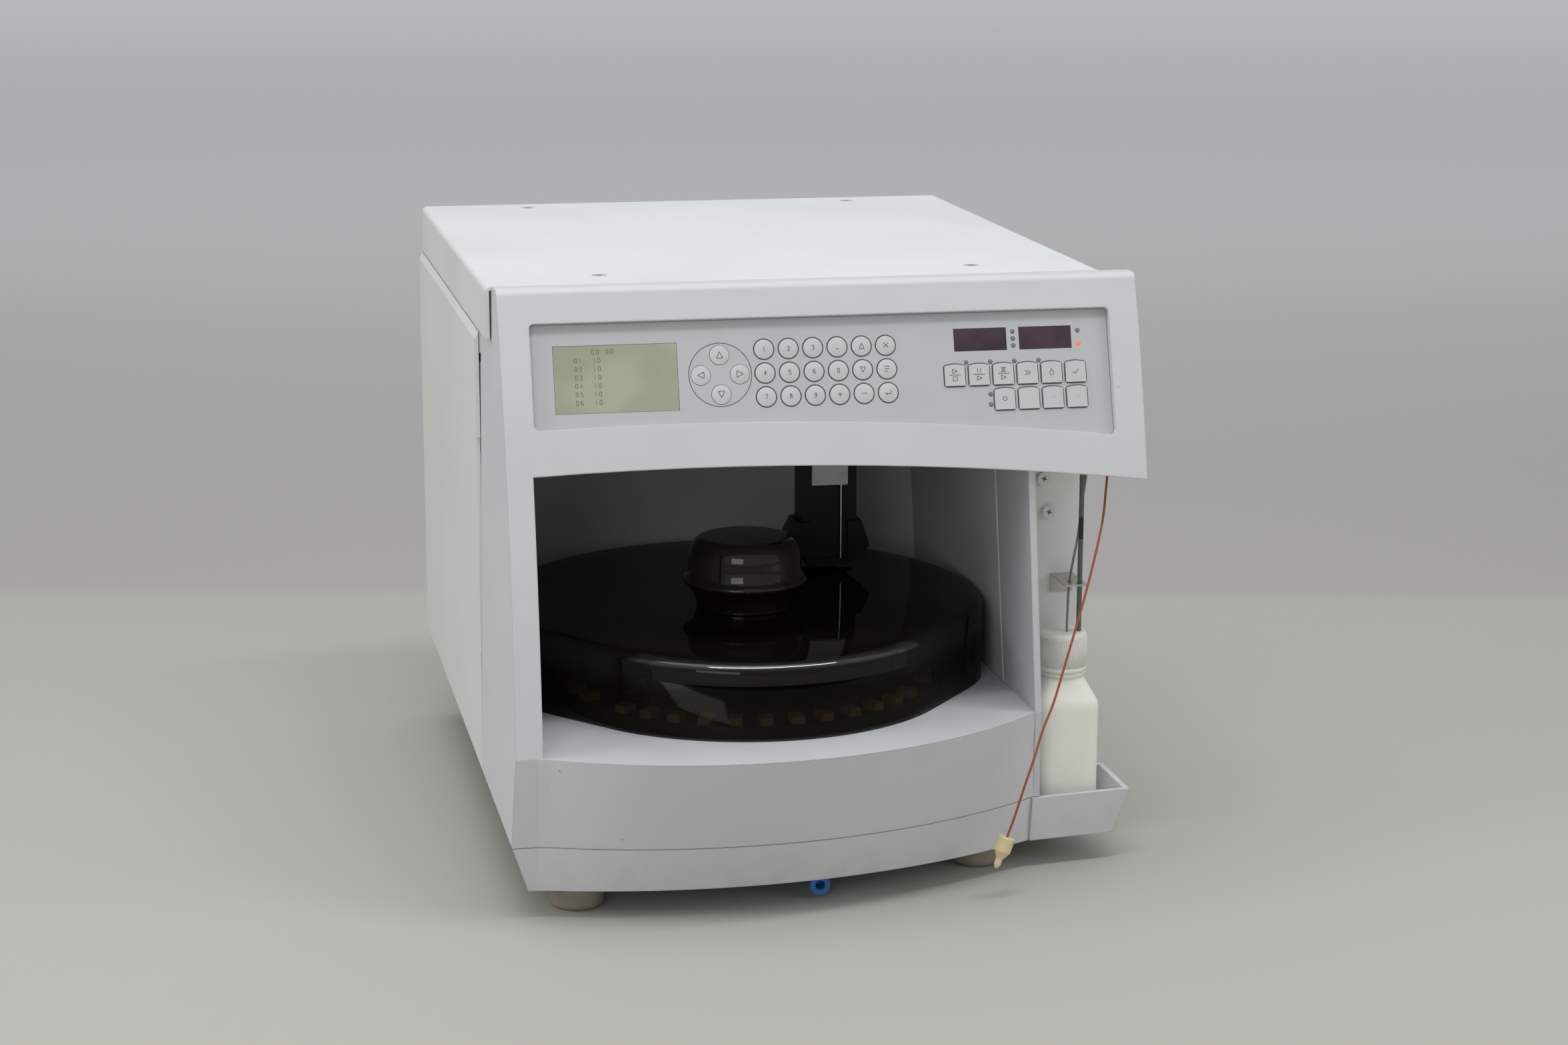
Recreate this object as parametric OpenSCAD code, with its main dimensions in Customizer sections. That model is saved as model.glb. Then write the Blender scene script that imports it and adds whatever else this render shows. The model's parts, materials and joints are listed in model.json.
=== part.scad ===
// Bench autosampler: a white moulded housing with a keypad head over an open bay, a smoked
// cover on a sample carousel, a hanging needle arm, and a wash bottle in a tray at the right.
// Frame: +X to the right, +Y to the back, +Z up; the origin is on the table, under the middle.

/* [Overall] */
// Width from the left side panel to the rim of the bottle tray
overall_w = 420; // [412:1:430]
// Depth from the nose of the bay's lip to the back
overall_d = 528; // [522:1:540]
// Height over the feet
overall_h = 392; // [390:1:400]
// Wall of the moulded front and base
wall = 4; // [3.5:0.5:4.5]
// Thickness of the sheet-metal panels
sheet = 2.5; // [2:0.5:3]
// Seam between neighbouring covers
gap = 0.4; // [0.3:0.1:0.6]

/* [Feet and base] */
// Height of the feet
foot_h = 19.5; // [17:0.5:21]
// Diameter of a foot
foot_d = 35; // [30:1:38]
// Height of the base tray
plinth_h = 30.5; // [29:0.5:32]
// Inward taper of the base walls, in degrees
base_draft = 18.6; // [12:0.2:20]
// How far the left side's taper reaches above the base tray
taper_h = 20; // [12:1:24]
// How far the base's bowed lower front edge runs back at the bay's right wall
base_back = 50.7; // [48:0.1:53]
// How far the base's lower front edge lies behind the lip's nose
base_tuck = 38.6; // [34:0.2:42]

/* [Front] */
// Height of the apron from the base tray to the bay floor
apron_h = 61.5; // [59:0.5:63]
// Height of the head over the bay
head_h = 108.5; // [106:0.5:111]
// How far the bay's bowed lip runs back at the bay's right wall
lip_back = 74; // [70:0.5:76]
// Radius of the front's curve in side view
front_r = 1046; // [1000:1:1100]
// Width of the left pillar's front face
pillar_w = 17; // [15:0.5:19]
// How far the pillar's front edge stands in from the side panel
side_draft = 8; // [6:0.5:9]
// Radius of the head's top front edge
edge_r = 5.5; // [4.5:0.5:7]
// Radius of the head's arched lower edge, in front view
head_arc_r = 2370; // [2200:10:2600]
// Thickness of the wall between the bay and the bottle
flange_t = 4.5; // [4:0.5:5]
// Lean of that wall, in degrees
wall_lean = 3.3; // [2.8:0.1:3.4]

/* [Covers] */
// Height of the top cover's inset side band
band_h = 33; // [30:1:36]
// How far that band stands in from the side panels
band_inset = 3; // [2.8:0.1:3.4]
// Diameter of a cover screw's head
screw_head_d = 9; // [7:0.5:10]

/* [Keypad] */
// Depth of the keypad below the head's face
panel_depth = 5; // [4:0.5:5.5]
// Thickness of the printed overlay
overlay_t = 0.8; // [0.6:0.1:1]
// Width of the keypad recess
recess_w = 368; // [364:1:372]
// Radius of the recess's arched lower edge
recess_arc_r = 2400; // [2200:10:2600]
// Diameter of a round key
key_d = 12; // [11:0.5:13]
// Spacing of the round keys along a row
key_pitch = 15.5; // [15:0.1:16]
// Spacing of the rows of round keys
key_row_pitch = 14.85; // [14.5:0.05:15.5]
// Width of a square key
square_key_w = 13; // [12:0.5:14]
// Spacing of the square keys
square_pitch = 15.75; // [15.5:0.05:16.2]
// How far a key can be pressed
key_travel = 0.5; // [0.3:0.1:0.6]
// How far a key stands out of the overlay
key_proud = 1; // [0.8:0.1:1.4]
// Running clearance round a key
key_clear = 0.3; // [0.25:0.05:0.4]
// Width of the display window
lcd_w = 77; // [74:1:80]
// Height of the display window
lcd_h = 42; // [40:1:44]

/* [Carousel] */
// Height of the smoked cover
dome_h = 54; // [50:1:56]
// Radius of the smoked cover's top edge
dome_round = 7; // [6:0.5:8]
// Depth of the finger scoop in the cover's nose
scoop_depth = 10; // [8:0.5:11]
// Wall of the smoked cover
dome_wall = 3; // [2.5:0.5:3.5]
// Diameter of the cover's knob
knob_d = 82; // [76:1:84]
// Height of the cover's knob
knob_h = 46.5; // [44:0.5:48]
// Diameter of the spindle
spindle_d = 12; // [10:0.5:14]
// Diameter of a vial hole
vial_d = 12.5; // [11.5:0.5:13]
// Running clearance between turning and sliding pieces
run_clear = 0.3; // [0.25:0.05:0.4]

/* [Needle arm] */
// Width of the arm's column
column_w = 39; // [36:1:42]
// Depth of the arm's column
column_d = 22; // [20:1:24]
// Width of the arm's head
arm_head_w = 57; // [52:1:58]
// Diameter of the needle
needle_d = 1.6; // [1.4:0.1:2]
// Diameter of a guide rod
rod_d = 10; // [8:1:11]

/* [Bottle and tubes] */
// Width of the bottle's compartment, at the level of the bay's floor
bottle_bay_w = 71.5; // [70:0.5:73]
// Width of the wash bottle
bottle_w = 42; // [40:1:43]
// Depth of the wash bottle
bottle_d = 44; // [40:1:45]
// Height of the bottle's body to its shoulder
bottle_body_h = 86; // [84:1:90]
// Diameter of the bottle's cap
cap_d = 33; // [30:1:34]
// Diameter of the capillary and of the thin wash tube
fine_tube_d = 1.6; // [1.4:0.1:1.8]
// Diameter of the stout wash tube
stout_tube_d = 3.2; // [3:0.1:3.4]

/* [Hidden] */
$fn = 96;
// Smooth setting of large arcs
big_fn = 720;
// Overlap that joins two shapes of one solid
weld = 0.5;

// The box
left_x = -overall_w / 2;
right_x = overall_w / 2;
nose_y = -overall_d / 2;
back_y = overall_d / 2;
top_z = overall_h;

// Levels
base_z = foot_h;
seam_z = base_z + plinth_h;
cover_z = seam_z + gap;
taper_z = seam_z + taper_h;
floor_z = seam_z + apron_h;
head_z = top_z - head_h;
band_z = top_z - band_h;

// Places across the front
pillar_x = left_x + side_draft + pillar_w;
cheek_x = left_x + side_draft + wall;
head_right_x = right_x - 5.5;
body_right_x = right_x - 19.5;
cover_left_x = left_x + band_inset;
cover_right_x = body_right_x - band_inset;
top_seam_y = nose_y + 109;
side_seam_y = nose_y + 147;

// Carousel axis and the bay around it
wall_floor_x = right_x - bottle_bay_w;
bay_left_x = cheek_x + gap;
bay_mid_x = (left_x + wall_floor_x + 12.5) / 2;
cover_r = wall_floor_x - bay_mid_x - 4;
nose_arc_r = cover_r - 27;
spin_x = bay_mid_x - 1.5;
spin_y = nose_y + 43 + nose_arc_r;
bay_mid_y = spin_y + 31;
dome_top_z = floor_z + dome_h;
well_r = nose_arc_r - 6;
bay_back_y = bay_mid_y + cover_r + 8;
ceiling_z = head_z + wall + 1;

// Bowed lip and base
nose_x = bay_mid_x - 20.5;
base_nose_x = nose_x - 13;
base_nose_y = nose_y + base_tuck;
lip_r = bow_r(wall_floor_x - nose_x, lip_back);
base_r = bow_r(wall_floor_x - base_nose_x, base_back);
skirt_steps = 48;

// Head and keypad
front_low_z = 34;
lip_step = 0.1;
front_axis_y = lip_y(pillar_x) + lip_step + sqrt(front_r * front_r - pow(floor_z - front_low_z, 2));
head_arch_x = bay_mid_x - 60;
panel_z = top_z - 50;
panel_lean = asin((panel_z - front_low_z) / front_r);
recess_mid_u = 1;
recess_top_v = 31;
recess_low_v = -33;
recess_arch_u = -100;
recess_top_r = 3;
recess_low_r = 3.6;
overlay_face = -panel_depth;
overlay_back = overlay_face - overlay_t;
backing_back = overlay_back - wall;
key_face = overlay_face + key_proud;
key_back = overlay_back - 0.6;
pocket_back = key_back - key_travel - run_clear;
// Keys and windows keep their share of the recess's width
round_key_at = [-0.1019 * recess_w, 11.7];
square_key_at = [0.22663 * recess_w, -8.6];
square_key_h = square_key_w + 0.5;
arrow_mid = [-0.17853 * recess_w, -3.3];
arrow_out = 12.3;
lcd_mid = [-0.35462 * recess_w, -3.5];
led_window = [0.0932 * recess_w, 14.4];
led_mids = [[0.27527 * recess_w, 13.5], [0.39049 * recess_w, 13.5]];
lamp_d = 3;
mid_lamp_u = (led_mids[0][0] + led_mids[1][0]) / 2 + 0.1;
end_lamp_u = led_mids[1][0] + led_window[0] / 2 + 4.35;
low_lamp_u = square_key_at[0] + 2 * square_pitch - 9;
lamps = concat([for (v = [17.9, 13.5, 9]) [mid_lamp_u, v]], [for (v = [17.4, 9]) [end_lamp_u, v]],
    [for (i = [0:3]) [square_key_at[0] + (i + 0.5) * square_pitch, -0.8]],
    [for (v = [-21.3, -27.7]) [low_lamp_u, v]]);
board_face = backing_back - 7;
board_t = 1.6;

// Needle arm: it reaches over the cover from a rail above the ceiling
arm_angle = 40;
arm_reach = cover_r - 68;
arm_x = bay_mid_x + arm_reach * cos(arm_angle);
arm_y = bay_mid_y + arm_reach * sin(arm_angle);
arm_low_z = dome_top_z + 3;
arm_head_top_z = arm_low_z + 32;
arm_head_d = column_d + 6;
arm_in = 30;
arm_out = 4;
rod_z = ceiling_z + sheet + 16;
rod_spread = 16;
carriage_w = 46;
carriage_l = 44;
rail_l = carriage_l + arm_in + arm_out + 6;
rail_block_l = 10;
slider_w = 25;
slider_t = 3;
slider_low_z = arm_head_top_z + 26;
slider_h = ceiling_z - 12 - slider_low_z;
needle_slot_r = 6;
needle_x = arm_x + 8;
needle_y = arm_y - column_d / 2 - slider_t / 2 - run_clear;
guide_h = 6;

// Carousel pieces
hub_z = floor_z - 23;
hub_t = 4;
hub_r = well_r - 8;
hub_core_r = 30;
rack_z = hub_z + hub_t + run_clear;
rack_top_z = floor_z + 6.5;
rack_in_r = hub_core_r + 4;
rack_out_r = hub_r + 3;
rack_angle = 117;
vial_rings = [[rack_out_r - 38, 10], [rack_out_r - 21, 12]];
label_count = 12;
cup_z = hub_z - 8;
cup_t = 2.5;

// Smoked cover: the angles run round the carousel's axis from the nose
cover_steps = 120;
flank_angle = 50;
flank_blend = 60;
nose_drop = 4;
scoop_angle = 40;
scoop_low = 5;
lip_low = 35.5;
lip_out = 2;
scoop_levels = [0, 0.3, 0.6, 0.85, 1];
top_rings = [0.6, 0.25];

// Bottle compartment
bottle_x = body_right_x - 20;
bottle_y = side_seam_y - 25;
tray_floor_z = base_z + 3;
shoulder_z = tray_floor_z + bottle_body_h;
neck_z = shoulder_z + 15;
neck_r = 13;
cap_z = neck_z + 3;
cap_h = 26;
cap_top_z = cap_z + cap_h;
tray_front_x = wall_x(seam_z) - 1;
tray_front_y = skirt_y(tray_front_x, seam_z) - 2;
tray_turn = 6.6;
tray_draft = 9.3;

// Hand-chosen points of the tubes, each from its upper end: the offsets in plan, and the way
// down as a share of the tube's whole height
tube_top_z = head_z - 9.5;
wash_fall = tube_top_z - cap_top_z;
clip_z = cap_top_z + 0.255 * wash_fall;
capillary_fall = tube_top_z - seam_z + 8;
capillary_route = [for (p = [
    [0, 0, 0], [0, 0, 0.026], [0, -1, 0.052], [-3, -8, 0.095], [-8, -20, 0.147], [-14, -30, 0.207],
    [-22, -38, 0.306], [-29, -43, 0.392], [-40, -48, 0.534], [-48, -51, 0.638], [-55, -53, 0.707],
    [-61, -55, 0.784], [-68, -57, 0.866], [-74, -58, 0.944], [-79, -59, 1]])
    [body_right_x - 1.5 + p[0], nose_y + 94 + p[1], tube_top_z - p[2] * capillary_fall]];
stout_route = [for (t = [0, 0.2, 0.6, 1]) [bottle_x + 9.5, bottle_y - 5, tube_top_z - t * wash_fall]];
thin_route = [for (p = [
    [13.5, -1, 0], [13.5, -1, 0.13], [12, -0.2, 0.25], [10.5, 0.5, 0.38], [9, 0.9, 0.5], [6.6, 1, 0.61],
    [4.6, 0.8, 0.71], [3.4, 0, 0.79], [2.7, -1.6, 0.86], [1.9, -3.6, 0.915], [1.4, -5, 0.955],
    [1.2, -5.5, 0.98], [1.2, -5.5, 1]])
    [bottle_x + p[0], bottle_y + p[1], tube_top_z - p[2] * wash_fall]];
fitting_r = 5.4;
drain_at = [nose_x + 44, base_nose_y + 20.4, foot_h - 10];

// Feet, seen from above
feet_at = [[left_x + 51, nose_y + 83], [right_x - 98, nose_y + 114],
           [left_x + 51, back_y - 45], [right_x - 70, back_y - 45]];

// Cover screws and the screws of the bottle compartment
cover_screw_in = 76.25;
cover_screws = [for (x = [cover_left_x + cover_screw_in, cover_right_x - cover_screw_in],
                     y = [top_seam_y + 38.5, back_y - 21]) [x, y]];
face_screws = [[body_right_x - 24.1, head_z - 56.5], [body_right_x - 27.8, head_z - 34]];
screw_shank_d = 4;
screw_sink = 1.3;

round_keys = 18;
arrow_keys = 4;
square_keys = 10;

// Radius of an arc from its nose to a point that lies aside and back
function bow_r(aside, back) = (aside * aside + back * back) / (2 * back);

// Bowed outlines in plan; left of the pillar's edge they run straight
function lip_y(x) =
    nose_y + lip_r - sqrt(lip_r * lip_r - pow(max(x, pillar_x) - nose_x, 2));
function foot_y(x) =
    base_nose_y + base_r - sqrt(base_r * base_r - pow(max(x, pillar_x) - base_nose_x, 2));
function skirt_y(x, z) =
    let (down = (floor_z - z) / (floor_z - base_z)) lip_y(x) * (1 - down) + foot_y(x) * down;

// The front's curve in side view and the leaning wall of the bay
function front_y(z) = front_axis_y - sqrt(front_r * front_r - pow(z - front_low_z, 2));
function wall_x(z) = wall_floor_x - (z - floor_z) * tan(wall_lean);
function arch_z(x) = head_z - head_arc_r + sqrt(head_arc_r * head_arc_r - pow(x - head_arch_x, 2));

// Inward taper of the left side below its taper line
function taper_in(z) = max(0, taper_z - z) * tan(base_draft);

// Plan of the smoked cover: a round nose, straight flanks and a wider round rear
function rear_reach(a) =
    let (mid = [bay_mid_x - spin_x, bay_mid_y - spin_y], along = mid * [sin(a), -cos(a)])
    along + sqrt(cover_r * cover_r - mid * mid + along * along);
function flank_reach(turn) = turn < 80 ? nose_arc_r / cos(turn) : 2 * cover_r;
function cover_plan(a) =
    abs(a) <= flank_angle ? nose_arc_r
    : pow(pow(flank_reach(abs(a) - flank_angle), -flank_blend) + pow(rear_reach(a), -flank_blend),
          -1 / flank_blend);
function cover_top(y) = dome_h - nose_drop * pow(max(0, -y / nose_arc_r), 2);

// Section of the cover at an angle, as radius and height, from the rim to the top: the scoop in
// the nose leaves a lip above it; the inset draws the inner side
function cover_section(a, inset) =
    let (r = cover_plan(a) - inset, amount = max(0, 1 - pow(a / scoop_angle, 2)),
         low = scoop_low + (lip_low - 6 - scoop_low) * (1 - amount),
         out = inset > 0 ? 0 : lip_out * amount, round = dome_round - inset,
         high = cover_top(-cover_plan(a) * cos(a)) - dome_round)
    concat([[r, 0]],
           [for (f = scoop_levels) [r - scoop_depth * amount * pow(f, 1.4), low + f * (lip_low - low)]],
           [[r + out, lip_low + 1.2 + inset], [r + out, high]],
           [for (t = [30, 60, 90]) [r + out - round * (1 - cos(t)), high + round * sin(t)]],
           [for (f = top_rings) [r * f, cover_top(-r * f * cos(a)) - inset]]);

// Smooth curve through hand-chosen points
function curve_point(p, i, t) =
    let (a = p[max(i - 1, 0)], b = p[i], c = p[i + 1], d = p[min(i + 2, len(p) - 1)])
    0.5 * (2 * b + (c - a) * t + (2 * a - 5 * b + 4 * c - d) * t * t
           + (3 * b - a - 3 * c + d) * t * t * t);
function curve(p, steps) =
    concat([for (i = [0:len(p) - 2], s = [0:steps - 1]) curve_point(p, i, s / steps)], [p[len(p) - 1]]);
function unit(v) = v / norm(v);
function heading(p, i) = unit(p[min(i + 1, len(p) - 1)] - p[max(i - 1, 0)]);

// Extrusions along an axis: outlines are drawn in (y, z), (x, z) and (x, y)
module along_x(x0, x1) {
    translate([x0, 0, 0]) rotate([90, 0, 90]) linear_extrude(height = x1 - x0) children();
}
module along_y(y0, y1) {
    translate([0, y1, 0]) rotate([90, 0, 0]) linear_extrude(height = y1 - y0) children();
}
module along_z(z0, z1) {
    translate([0, 0, z0]) linear_extrude(height = z1 - z0) children();
}
module block(low, high) {
    translate(low) cube(high - low);
}
module flat(low, high) {
    translate(low) square(high - low);
}
module round_flat(low, high, r) {
    flat([low[0] + r, low[1]], [high[0] - r, high[1]]);
    flat([low[0], low[1] + r], [high[0], high[1] - r]);
    for (x = [low[0] + r, high[0] - r], y = [low[1] + r, high[1] - r]) translate([x, y]) circle(r = r);
}

// Keypad frame: x along the panel, y up its slope, z out of the head's face
module on_panel() {
    translate([0, front_y(panel_z), panel_z]) rotate([90 - panel_lean, 0, 0]) children();
}

// A round tube along a route
module tube(points, d, sides) {
    count = len(points);
    rings = [for (i = [0:count - 1]) let (t = heading(points, i), a = unit(cross(t, [0.2, 1, 0.1])),
             b = cross(t, a)) each [for (k = [0:sides - 1])
             points[i] + d / 2 * (cos(360 * k / sides) * a + sin(360 * k / sides) * b)]];
    sides_faces = [for (i = [0:count - 2], k = [0:sides - 1])
        let (p = i * sides + k, q = i * sides + (k + 1) % sides)
        each [[p, p + sides, q], [q, p + sides, q + sides]]];
    low_cap = [for (k = [1:sides - 2]) [0, k, k + 1]];
    last = (count - 1) * sides;
    high_cap = [for (k = [1:sides - 2]) [last, last + k + 1, last + k]];
    polyhedron(points = rings, faces = concat(sides_faces, low_cap, high_cap));
}

// A bowed wall between two levels that follows the lip above and the base below
module bowed_wall(x0, x1, z0, z1, thick) {
    stations = [for (i = [0:skirt_steps]) let (x = x0 + (x1 - x0) * i / skirt_steps)
                each [[x, skirt_y(x, z1), z1], [x, skirt_y(x, z0), z0],
                      [x, skirt_y(x, z0) + thick, z0], [x, skirt_y(x, z1) + thick, z1]]];
    skin = [for (i = [0:skirt_steps - 1], k = [0:3])
            let (a = 4 * i + k, b = 4 * i + (k + 1) % 4) each [[a, a + 4, b], [b, a + 4, b + 4]]];
    last = 4 * skirt_steps;
    ends = [[0, 1, 2], [0, 2, 3], [last, last + 2, last + 1], [last, last + 3, last + 2]];
    polyhedron(points = stations, faces = concat(skin, ends));
}

// Side view of the front: everything behind the curved face, up to a rounded top edge
module front_section(low_z, rear_y, inset) {
    axis = [front_axis_y, front_low_z];
    edge = [front_axis_y - sqrt(pow(front_r - edge_r, 2) - pow(top_z - edge_r - front_low_z, 2)),
        top_z - edge_r];
    out = edge + (edge - axis) / (front_r - edge_r) * (3 * edge_r);
    difference() {
        intersection() {
            translate(axis) circle(r = front_r - inset, $fn = big_fn);
            flat([nose_y, low_z], [rear_y, top_z - inset]);
        }
        polygon([edge, [edge[0], top_z + wall], [edge[0] - 8 * edge_r, top_z + wall], out]);
    }
    translate(edge) circle(r = edge_r - inset);
}

// Everything outside the left side's taper
module left_taper_cut() {
    translate([left_x, nose_y - 1, taper_z]) rotate([0, -base_draft, 0])
        translate([-overall_w, 0, -overall_h]) cube([overall_w, overall_d + 2, overall_h]);
}

module head_shell() {
    low_z = head_z - 30;
    under_y = side_seam_y - gap;
    difference() {
        union() {
            along_x(left_x, head_right_x) difference() {
                front_section(low_z, top_seam_y, 0);
                front_section(low_z - 1, top_seam_y + 1, wall);
            }
            along_x(head_right_x - wall, head_right_x) front_section(low_z, top_seam_y, 0);
            block([cover_right_x, top_seam_y - wall, low_z], [head_right_x, top_seam_y, top_z - wall + weld]);
            // Ledge that carries the top cover's front edge
            block([cheek_x, top_seam_y - 3 * wall, top_z - sheet - run_clear - wall],
                  [cover_right_x - sheet - gap, top_seam_y + 3 * wall, top_z - sheet - run_clear]);
            // Rib behind the seam at the top cover's left flange
            block([cover_left_x + sheet + gap, top_seam_y - weld, band_z],
                  [cheek_x + weld, top_seam_y + 3 * wall, top_z - sheet - run_clear]);
            // Backing of the keypad
            intersection() {
                along_x(cheek_x - weld, head_right_x - weld) front_section(low_z, top_seam_y, 0);
                on_panel() block([recess_mid_u - recess_w / 2 - wall, recess_low_v - 22, backing_back],
                                 [recess_mid_u + recess_w / 2 + wall, recess_top_v + wall, 20]);
            }
            // Underside
            intersection() {
                union() {
                    along_x(cheek_x - weld, head_right_x - weld) front_section(low_z, top_seam_y, 0);
                    block([cheek_x - weld, top_seam_y - 1, low_z],
                        [body_right_x, under_y, head_z + wall + 1]);
                }
                along_y(nose_y, under_y) translate([head_arch_x, head_z - head_arc_r])
                    circle(r = head_arc_r + wall, $fn = big_fn);
            }
        }
        along_y(nose_y - 1, back_y) translate([head_arch_x, head_z - head_arc_r])
            circle(r = head_arc_r, $fn = big_fn);
    }
}

module left_cheek() {
    lip = lip_y(pillar_x);
    hem = skirt_y(pillar_x, cover_z);
    // Side of the housing in front of the side panel
    along_x(left_x, cheek_x) {
        difference() {
            front_section(floor_z, side_seam_y, 0);
            flat([top_seam_y, band_z], [side_seam_y + 1, top_z + wall]);
        }
        polygon([[lip + wall / 2, floor_z], [hem + wall / 2, cover_z], [side_seam_y, cover_z],
            [side_seam_y, floor_z]]);
    }
    // Rib behind the side panel's front edge
    block([left_x + sheet + gap, side_seam_y - weld, taper_z],
          [bay_left_x - sheet - gap, side_seam_y + 3 * wall, band_z - 5 * wall]);
    // Front pillar with its return into the bay
    along_x(cheek_x - weld, pillar_x) difference() {
        front_section(floor_z, lip + 10 * wall, 0);
        front_section(floor_z - 1, back_y, wall);
        flat([nose_y, head_z + 2 * wall], [back_y, top_z + wall]);
    }
    along_x(pillar_x - wall / 2, pillar_x) intersection() {
        front_section(floor_z - wall / 2, front_y(head_z) + 3 * wall, 1);
        flat([nose_y, floor_z - wall / 2], [back_y, head_z + wall]);
    }
}

module right_flange() {
    intersection() {
        along_y(nose_y, side_seam_y - gap) polygon([
            [wall_x(head_z + wall / 2), head_z + wall / 2], [wall_x(cover_z), cover_z],
            [wall_x(cover_z) + flange_t, cover_z],
                [wall_x(head_z + wall / 2) + flange_t, head_z + wall / 2]]);
        along_x(0, right_x) polygon([
            [front_y(head_z) + 6, head_z + wall], [lip_y(wall_floor_x), floor_z],
            [skirt_y(wall_x(cover_z), cover_z), cover_z], [side_seam_y, cover_z],
                [side_seam_y, head_z + wall]]);
    }
}

module bay_shelf() {
    along_z(floor_z - wall, floor_z) difference() {
        union() {
            intersection() {
                translate([nose_x, nose_y + lip_r]) circle(r = lip_r - wall / 2, $fn = big_fn);
                flat([pillar_x - 1, nose_y - 1], [wall_floor_x + flange_t / 2, side_seam_y - gap]);
            }
            flat([cheek_x - weld, lip_y(pillar_x) + wall / 2], [pillar_x, side_seam_y - gap]);
            flat([bay_left_x + gap, side_seam_y - 1], [wall_x(floor_z) - gap, bay_mid_y]);
        }
        translate([spin_x, spin_y]) circle(r = well_r);
    }
}

module recess_outline(inset) {
    arch = [recess_arch_u, recess_low_v - recess_arc_r];
    arch_r = recess_arc_r + inset;
    half_w = recess_w / 2 - inset;
    r = recess_low_r - inset;
    difference() {
        round_flat([recess_mid_u - half_w, recess_low_v - 40],
                   [recess_mid_u + half_w, recess_top_v - inset], recess_top_r);
        translate(arch) circle(r = arch_r, $fn = big_fn);
        // Lower corners, rounded in three facets
        for (side = [-1, 1]) let (u = recess_mid_u + side * (half_w - r),
                                  v = arch[1] + sqrt(pow(arch_r + r, 2) - pow(u - arch[0], 2)))
            translate([u, v]) polygon(concat(
                [[side * (r + 1), 1]], [for (turn = [20, 45, 70]) r * [side * cos(turn), -sin(turn)]],
                [[-side, -r - 1], [-side, -3 * r], [side * (r + 1), -3 * r]]));
    }
}

module display_windows(grow) {
    size = [lcd_w, lcd_h] / 2;
    flat(lcd_mid - size - [grow, grow], lcd_mid + size + [grow, grow]);
    for (mid = led_mids) flat(mid - led_window / 2 - [grow, grow], mid + led_window / 2 + [grow, grow]);
    for (at = lamps) translate(at) circle(d = lamp_d + 2 * grow);
}

function round_key_place(i) =
    let (n = i - 1) round_key_at + [key_pitch * (n % 6), -key_row_pitch * floor(n / 6)];
function arrow_key_place(i) = arrow_mid + arrow_out * [cos(90 * i), sin(90 * i)];
function square_key_place(i) =
    i <= 6 ? square_key_at + [square_pitch * (i - 1), 0]
           : square_key_at + [square_pitch * (i - 5), -square_pitch - 0.15];

module square_key_outline(grow) {
    arch_r = 1.6 * square_key_w;
    intersection() {
        square([square_key_w + 2 * grow, square_key_h + 2 * grow], center = true);
        translate([0, square_key_h / 2 - arch_r]) circle(r = arch_r + grow);
    }
}

module key_outlines(grow) {
    for (i = [1:round_keys]) translate(round_key_place(i)) circle(d = key_d + 2 * grow);
    for (i = [1:arrow_keys]) translate(arrow_key_place(i)) circle(d = key_d + 2 * grow);
    for (i = [1:square_keys]) translate(square_key_place(i)) square_key_outline(grow);
}

module front_bezel() {
    color("whitesmoke") difference() {
        union() {
            head_shell();
            left_cheek();
            right_flange();
            bay_shelf();
            bowed_wall(left_x, wall_x(cover_z) + weld, cover_z, floor_z, wall);
        }
        // Keypad recess, its windows and the pockets under the keys
        on_panel() {
            translate([0, 0, overlay_back]) linear_extrude(height = 40) recess_outline(0);
            translate([0, 0, backing_back - 10]) linear_extrude(height = 40) display_windows(run_clear);
            translate([0, 0, pocket_back]) linear_extrude(height = 10) key_outlines(key_clear);
        }
        // Inward slant of the left side and its taper to the base
        translate([left_x + side_draft, front_y(floor_z) - 1, floor_z])
            rotate([-atan((front_y(top_z) - front_y(floor_z)) / (top_z - floor_z)), 0, 0])
            rotate([0, 0, atan(side_draft / (side_seam_y - front_y(floor_z)))])
            translate([-100, -400, -400]) cube([100, 800, 1000]);
        left_taper_cut();
        // Holes for the tubes
        for (p = [capillary_route[0], thin_route[0]]) translate([p[0], p[1], p[2] - 20])
            cylinder(d = fine_tube_d + 2 * gap, h = 40);
        translate([stout_route[0][0], stout_route[0][1], stout_route[0][2] - 20])
            cylinder(d = stout_tube_d + 2 * gap, h = 40);
    }
}

module keypad_overlay() {
    color("gainsboro") on_panel() {
        translate([0, 0, overlay_back]) linear_extrude(height = overlay_t) difference() {
            recess_outline(gap);
            key_outlines(key_clear);
            display_windows(0);
        }
    }
}

module display_board() {
    board_x = recess_w / 2 - 18;
    color("darkgreen") on_panel() {
        translate([0, 0, board_face - board_t]) linear_extrude(height = board_t)
            flat([recess_mid_u - board_x, recess_low_v + 3], [recess_mid_u + board_x, recess_top_v - 5]);
        // Display modules and lamps stand on the board and reach into their windows
        translate([0, 0, board_face - weld]) linear_extrude(height = overlay_back - board_face + weld)
            display_windows(0);
        // Pillars that carry the board on the back of the head
        for (u = [-1, 1], v = [recess_low_v + 9, recess_top_v - 10])
            translate([recess_mid_u + u * (board_x - 8), v, board_face - weld])
                cylinder(d = 7, h = backing_back - board_face + weld);
    }
}

module round_key() {
    cap_r = 2.2 * key_d;
    color("gainsboro") rotate_extrude() intersection() {
        flat([0, key_back], [key_d / 2, key_face]);
        translate([0, key_face - cap_r]) circle(r = cap_r);
    }
}

module square_key() {
    color("gainsboro") translate([0, 0, key_back]) linear_extrude(height = key_face - key_back)
        square_key_outline(0);
}

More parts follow.
